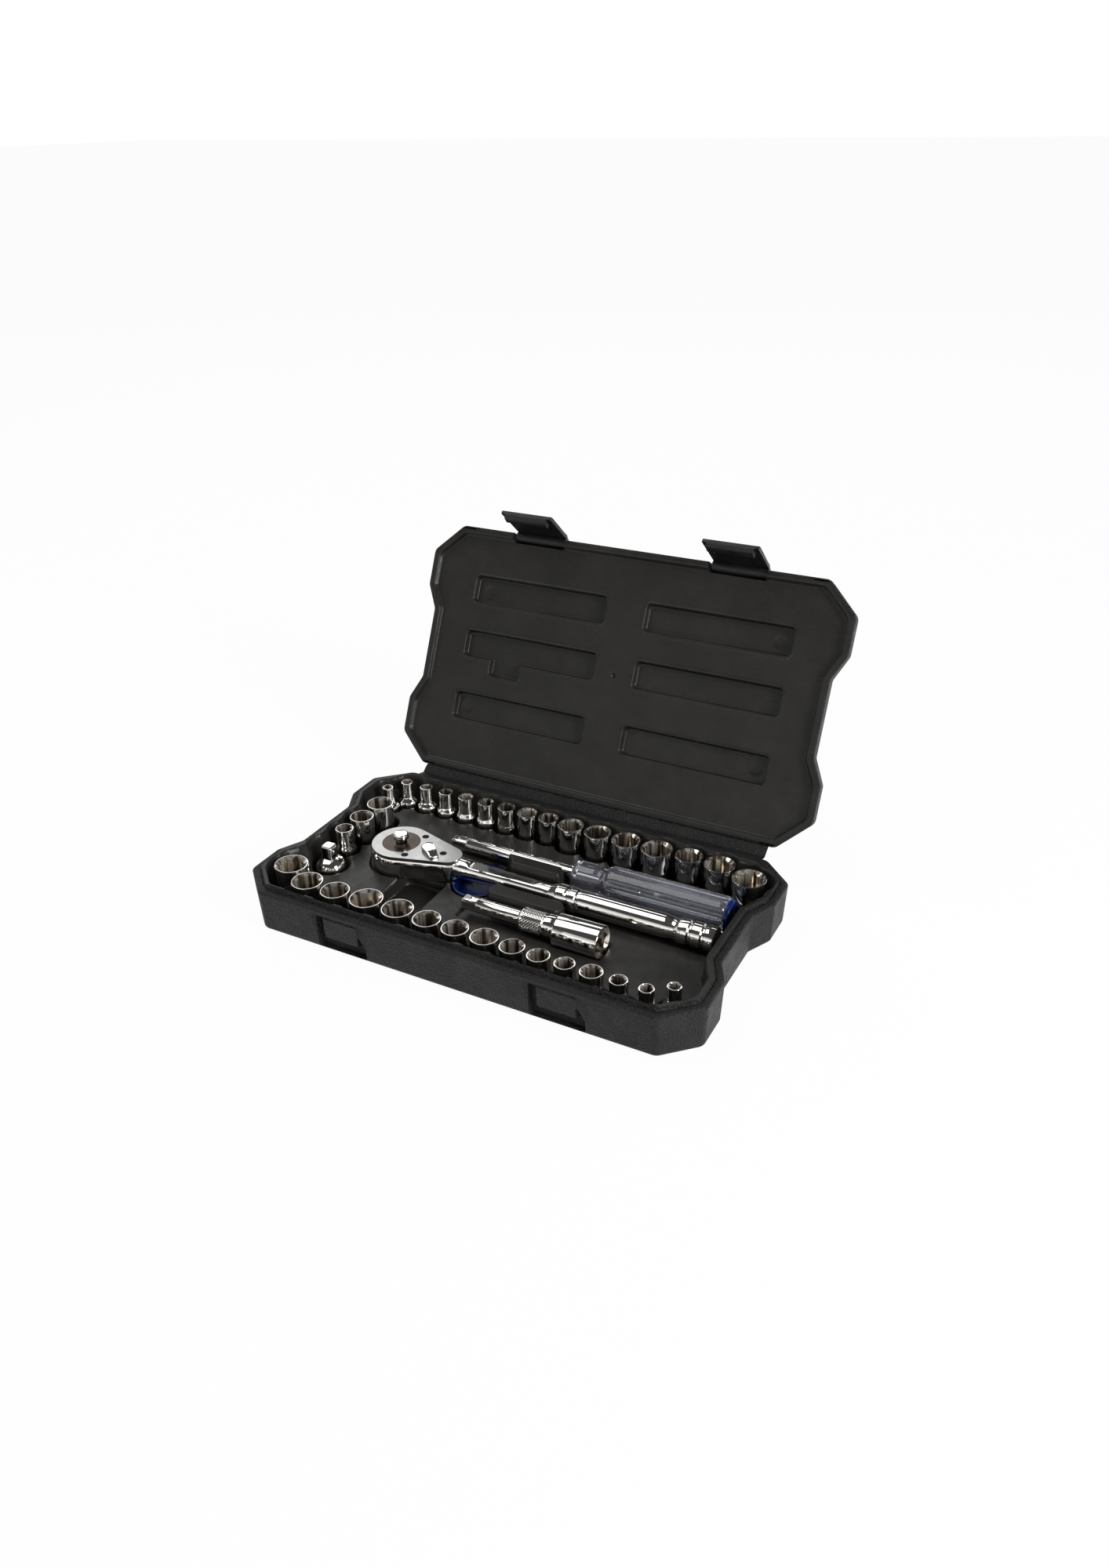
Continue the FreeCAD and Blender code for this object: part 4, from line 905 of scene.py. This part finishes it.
# %% Spinner
FLUTES, FLUTE_DEEP = 6, 1.35
tang = square_radius(around, 2.7, 0.4)
shaft = [(-54.0, square * 0.84), (-53.8, square * 0.92), (-53.2, square), (-45.4, square), (-44.6, 3.7),
         (-44.0, 4.0), (22.0, 4.0), (24.9, 4.0), (25.0, tang), (60.0, tang), (62.0, tang * 0.7)]
keys = np.array([(22.0, 6.2), (22.6, 7.4), (23.6, 8.1), (25.0, 8.3), (33.0, 8.3), (35.0, 8.05), (37.0, 7.4),
                 (38.6, 7.3), (40.5, 8.0), (42.5, 9.3), (44.5, 9.9), (47.0, 10.0), (106.0, 10.0),
                 (107.6, 9.8), (108.5, 9.3), (109.0, 8.5)])
heights = np.unique(np.concatenate([keys[:, 0], np.linspace(22, 109, 70)]))
radii = np.interp(heights, keys[:, 0], keys[:, 1])
flute = np.clip(np.cos(FLUTES * around), 0, 1) ** 0.8 * FLUTE_DEEP
grip = [(h, r - flute * step(42.0, 48.0, h) * step(110.5, 106.5, h)) for h, r in zip(heights, radii)]
cap = [(109.0, 8.0), (109.1, 8.6), (110.6, 8.6), (111.2, 8.3), (111.6, 7.2)]
for name, sections, material, slot, node, sharp in [
        ("spinner_shaft_form", shaft, chrome, "chrome_steel", "spinner_shaft", 30.0),
        ("spinner_grip_form", grip, acetate, "clear_acetate", "spinner_grip", 50.0),
        ("spinner_cap_form", cap, blue, "blue_plastic", "spinner_end_cap", 50.0)]:
    grid = along_x(rings(sections), SPINNER_Y, SPINNER_Z)
    piece(name, [(grid, True, 0)], [material], "spinner", [node], sharp=sharp)
    print(name, "rings", len(grid))

# %% [markdown]
# ## Ratchet body
# The head is a pear: two circles joined by tangents, swept up a rounded profile. The neck and the
# grip are turned, with flats on the neck and rings at both ends of the grip.

# %% Ratchet body
HEAD_ANGLES = np.linspace(-np.pi, np.pi, 120, endpoint=False)
HEAD_PLACE = np.array([*HEAD, 0.0])


def pear_radius(inset):
    """Polar radius of the head's outline: two arcs and the lines between, read off at each angle."""
    big, small = HEAD_RADIUS - inset, TAIL_RADIUS - inset
    meet = math.pi / 2 - math.asin((big - small) / TAIL_X)
    a, b = np.linspace(meet, 2 * math.pi - meet, 400), np.linspace(-meet, meet, 120)
    loop = np.concatenate([np.column_stack([big * np.cos(a), big * np.sin(a)]),
                           np.column_stack([TAIL_X + small * np.cos(b), small * np.sin(b)])])
    onward = np.roll(loop, -1, axis=0) - loop
    dense = loop[:, None] + onward[:, None] * np.linspace(0, 1, 20, endpoint=False)[:, None]
    px, py = dense.reshape(-1, 2).T
    angle = np.arctan2(py, px)
    order = np.argsort(angle)
    return np.interp(HEAD_ANGLES, angle[order], np.hypot(px, py)[order], period=2 * np.pi)


head_profile = [(2.0, 11.3), (1.2, 11.5), (0.5, 12.1), (0.1, 13.0), (0.0, 14.0), (0.0, 18.4), (0.04, 19.2),
                (0.14, 20.0), (0.3, 20.8), (0.52, 21.5), (0.72, 22.0), (0.9, 22.3), (2.0, 22.3)]
head_rows = [(8.7, 11.3)] + [(pear_radius(inset), z) for inset, z in head_profile]
head = np.array([ring(radius, z, HEAD_ANGLES) for radius, z in head_rows]) + HEAD_PLACE
keys = np.array([(26.0, 6.4), (34.0, 6.2), (45.0, 5.5), (60.0, 5.0), (75.0, 4.8), (90.0, 4.8), (93.0, 5.1),
                 (95.5, 5.8), (97.0, 6.3), (98.0, 6.6), (102.4, 6.6), (102.8, 6.3), (103.2, 6.0),
                 (104.4, 6.0), (104.8, 6.3), (105.2, 6.6), (108.6, 6.6), (109.0, 6.2), (109.5, 6.0),
                 (110.5, 6.2), (112.0, 6.3), (157.0, 6.3), (160.0, 6.0), (162.0, 5.5), (163.0, 5.45),
                 (164.5, 5.8), (165.6, 6.4), (166.2, 6.7), (170.8, 6.7), (171.2, 6.4), (171.6, 6.0),
                 (172.4, 6.0), (172.8, 6.4), (173.2, 6.7), (177.8, 6.7), (178.2, 6.4), (178.6, 6.0),
                 (179.4, 6.0), (179.8, 6.4), (180.2, 6.7), (183.6, 6.7), (184.5, 6.4), (185.0, 5.7)])
heights = np.unique(np.concatenate([keys[:, 0], np.linspace(26, 100, 50)]))
handle = along_x(rings(list(zip(heights, np.interp(heights, keys[:, 0], keys[:, 1])))), 0.0, 0.0)
along = handle[..., 0]
flat = 8.0 - 4.0 * step(40.0, 46.0, along) * step(90.0, 84.0, along)
under_plate = np.where(along < 38.0, 4.2, 9.0)
handle[..., 2] = np.clip(handle[..., 2], -flat, np.minimum(flat, under_plate))
handle = handle + HEAD_PLACE + np.array([0, 0, AXIS_Z])
body = piece("ratchet_body_form", [(head, True, 0), (handle, True, 0)], [chrome], "ratchet",
             ["ratchet_body"], sharp=32.0)
print("ratchet body faces", len(body.data.polygons))

# %% [markdown]
# ## Release button and reversing lever
# The button is turned, with a flat top. The lever is a loop round its hub and tip, drawn in row by
# row towards its middle, and its top falls in a thumb scoop that is part of a circle.

# %% Button and lever
LEVER_X, LEVER_TURN = 17.3, math.radians(-38.0)
LEVER_TIP, LEVER_TOP, HUB_RADIUS = 10.5, 26.9, 3.6
SCOOP_LOW, SCOOP_RADIUS, SCOOP_LONG = 25.7, 9.0, 8.9
button = [(14.0, 2.9), (26.3, 2.9), (26.6, 3.1), (26.8, 3.9), (27.1, 4.15), (27.4, 4.2), (29.3, 4.2),
          (29.7, 4.05), (29.92, 3.7), (30.0, 3.2)]
piece("release_button_form", [(rings(button) + HEAD_PLACE, True, 0)], [chrome], "release_button",
      ["ratchet_release_button"], sharp=40.0)

a = np.radians(np.linspace(75, 285, 40))
hub = np.column_stack([HUB_RADIUS * np.cos(a), HUB_RADIUS * np.sin(a)])
tip = np.array([(9.6, -2.5), (10.1, -2.35), (10.4, -1.9), (10.5, -1.3), (10.5, 1.3), (10.4, 1.9),
                (10.1, 2.35), (9.6, 2.5)])
share = np.linspace(0, 1, 14)[1:-1, None]
lever_loop = np.concatenate([hub, hub[-1] + (tip[0] - hub[-1]) * share, tip,
                             tip[-1] + (hub[0] - tip[-1]) * share])
lever_middle = np.array([3.0, 0.0])


def lever_row(scale, z):
    """The loop drawn towards its middle; z is held under low + R - sqrt(R^2 - d^2), d from the tip."""
    loop = lever_middle + (lever_loop - lever_middle) * scale
    from_tip = np.clip(LEVER_TIP - loop[:, 0], 0, SCOOP_LONG)
    scoop = SCOOP_LOW + SCOOP_RADIUS - np.sqrt(SCOOP_RADIUS ** 2 - from_tip ** 2)
    return np.column_stack([loop, np.minimum(z, scoop - (LEVER_TOP - z) * 0.5)])


lever = np.array([lever_row(scale, z) for scale, z in [
    (0.02, 24.6), (0.95, 24.6), (1.0, 24.8), (1.0, 26.4), (0.97, 26.7), (0.92, 26.88), (0.7, LEVER_TOP),
    (0.45, LEVER_TOP), (0.2, LEVER_TOP), (0.0, LEVER_TOP)]])
c, s = math.cos(LEVER_TURN), math.sin(LEVER_TURN)
lever = np.stack([lever[..., 0] * c - lever[..., 1] * s, lever[..., 0] * s + lever[..., 1] * c,
                  lever[..., 2]], -1)
stem = rings([(14.0, 2.0), (24.7, 2.0)], 32)[:-1]
lever_place = HEAD_PLACE + np.array([LEVER_X, 0, 0])
piece("reverse_lever_form", [(lever + lever_place, True, 0), (stem + lever_place, True, 0)], [chrome],
      "reverse_lever", ["ratchet_reverse_lever"], sharp=40.0)
print("lever rows", len(lever), "button rings", len(button) + 2)

# %% [markdown]
# ## Pieces that keep their solid's form
# The gear, pawl, cover plate, screws, pins, balls and finger bowl are machined or moulded just as
# their solids are, so they only get their finish.

# %% Finishes
KEPT_FORMS = {"ratchet_drive_gear": oxide, "ratchet_pawl": oxide, "ratchet_cover_plate": satin,
              "ratchet_cover_screws": screw_painted_shade, "latch_pins": ground, "ratchet_pawl_pin": ground,
              "ratchet_drive_ball": ground, "spinner_ball": ground, "extension_ball": ground,
              "adaptor_ball": ground, "blue_finger_bowl": blue}
for node, material in KEPT_FORMS.items():
    nodes[node].data.materials.clear()
    nodes[node].data.materials.append(material)
print("finishes given to", len(KEPT_FORMS), "solids")

# %% [markdown]
# ## Studio floor and backdrop
# The object stands on white paper, as in a catalogue picture. The eye, mirrors and clear plastic see
# the paper as white, and a small share of real paper keeps the shadow. The backdrop is white round
# the object and falls to grey above it, so that the chrome has something dark to mirror.

# %% Floor and backdrop
FLOOR_HALF, FLOOR_Z, WHITE_SHARE = 12, -0.0002, 0.96
WHITE_TO, GREY_FROM = 0.16, 0.52
floor_mesh = bpy.data.meshes.new("studio_floor")
floor_corners = [(i * FLOOR_HALF, j * FLOOR_HALF, FLOOR_Z) for i, j in [(-1, -1), (1, -1), (1, 1), (-1, 1)]]
floor_mesh.from_pydata(floor_corners, [], [(0, 1, 2, 3)])
floor = bpy.data.objects.new("studio_floor", floor_mesh)
bpy.context.scene.collection.objects.link(floor)
paper, tree, principled, place = shader("white paper sweep", Base_Color=linear("#e9e9e8"), Roughness=0.8,
                                        Specular_IOR_Level=0.1)
ray = add(tree, "ShaderNodeLightPath")
mirrored = add(tree, "ShaderNodeMath", [("operation", "MAXIMUM")], i0=ray.outputs["Is Glossy Ray"],
               i1=ray.outputs["Is Transmission Ray"])
seen = add(tree, "ShaderNodeMath", [("operation", "MAXIMUM")], i0=ray.outputs["Is Camera Ray"],
           i1=mirrored.outputs[0])
white_share = add(tree, "ShaderNodeMath", [("operation", "MULTIPLY")], i0=seen.outputs[0],
                  i1=WHITE_SHARE)
white = add(tree, "ShaderNodeEmission", Color=linear("#ffffff"), Strength=1.0)
mixed = add(tree, "ShaderNodeMixShader", i0=white_share.outputs[0], i1=principled.outputs[0],
            i2=white.outputs[0])
tree.links.new(mixed.outputs[0], tree.nodes["Material Output"].inputs["Surface"])
floor_mesh.materials.append(paper)

world = bpy.data.worlds.new("studio")
bpy.context.scene.world = world
world.use_nodes = True
tree = world.node_tree
background = tree.nodes["Background"]
way = add(tree, "ShaderNodeTexCoord").outputs["Generated"]
height = add(tree, "ShaderNodeSeparateXYZ", Vector=way).outputs["Z"]
fall = add(tree, "ShaderNodeMapRange", [("interpolation_type", "SMOOTHSTEP")], Value=height,
           From_Min=WHITE_TO, From_Max=GREY_FROM)
tone = add(tree, "ShaderNodeMix", [("data_type", "RGBA")], Factor=fall.outputs["Result"],
           i6=linear("#ffffff"), i7=linear("#4a4a4a"))
tree.links.new(tone.outputs[2], background.inputs["Color"])
background.inputs["Strength"].default_value = 1.0
print("floor and backdrop made")

# %% [markdown]
# ## Lamps and camera
# Four softboxes light the case: a wide one behind, one overhead, a weak fill in front and a narrow
# one at the right, which draws the bright edges. The camera stands where the photograph's did, found
# from the case's own corners, with its focal length in pixels turned to millimetres.

# %% Lamps
def softbox(name, place, aim, width, height, power):
    """Rectangular area light at a place, turned to face an aim point."""
    light = bpy.data.lights.new(name, "AREA")
    light.shape = "RECTANGLE"
    light.size, light.size_y, light.energy = width, height, power
    obj = bpy.data.objects.new(name, light)
    bpy.context.scene.collection.objects.link(obj)
    obj.location = place
    obj.rotation_euler = (Vector(aim) - Vector(place)).to_track_quat("-Z", "Y").to_euler()


softbox("back softbox", (-0.55, 1.45, 1.20), (0, 0, 0.02), 1.9, 0.8, 10.0)
softbox("overhead softbox", (-0.50, -0.05, 1.10), (0, 0, 0), 0.8, 0.9, 5.5)
softbox("front fill", (-0.30, -2.00, 0.90), (0, 0, 0.06), 2.0, 0.9, 3.4)
softbox("right softbox", (1.30, -0.30, 0.70), (0, 0, 0.03), 0.4, 0.7, 20.0)

SENSOR, FOCAL_PIXELS, PHOTO_PIXELS = 36.0, 1588.11, 2000
camera_data = bpy.data.cameras.new("photo_camera")
camera = bpy.data.objects.new("photo_camera", camera_data)
bpy.context.scene.collection.objects.link(camera)
camera_data.sensor_width = SENSOR
camera_data.lens = FOCAL_PIXELS / PHOTO_PIXELS * SENSOR
camera_data.clip_start = 0.01
right = (0.8836, 0.4680, -0.0178)
up = (-0.2128, 0.4351, 0.8750)
back = (0.4172, -0.7692, 0.4839)
spot = (0.27996, -0.47176, 0.38172)
camera.matrix_world = Matrix([[right[i], up[i], back[i], spot[i]] for i in range(3)] + [[0, 0, 0, 1]])
bpy.context.scene.camera = camera
bpy.context.scene.view_settings.view_transform = "Standard"
print("lamps", len(bpy.data.lights), "lens", round(camera_data.lens, 2), "mm")

# %% [markdown]
# ## Finish
# The view layer is updated, so that every piece has its final placing.

# %% Finish
bpy.context.view_layer.update()
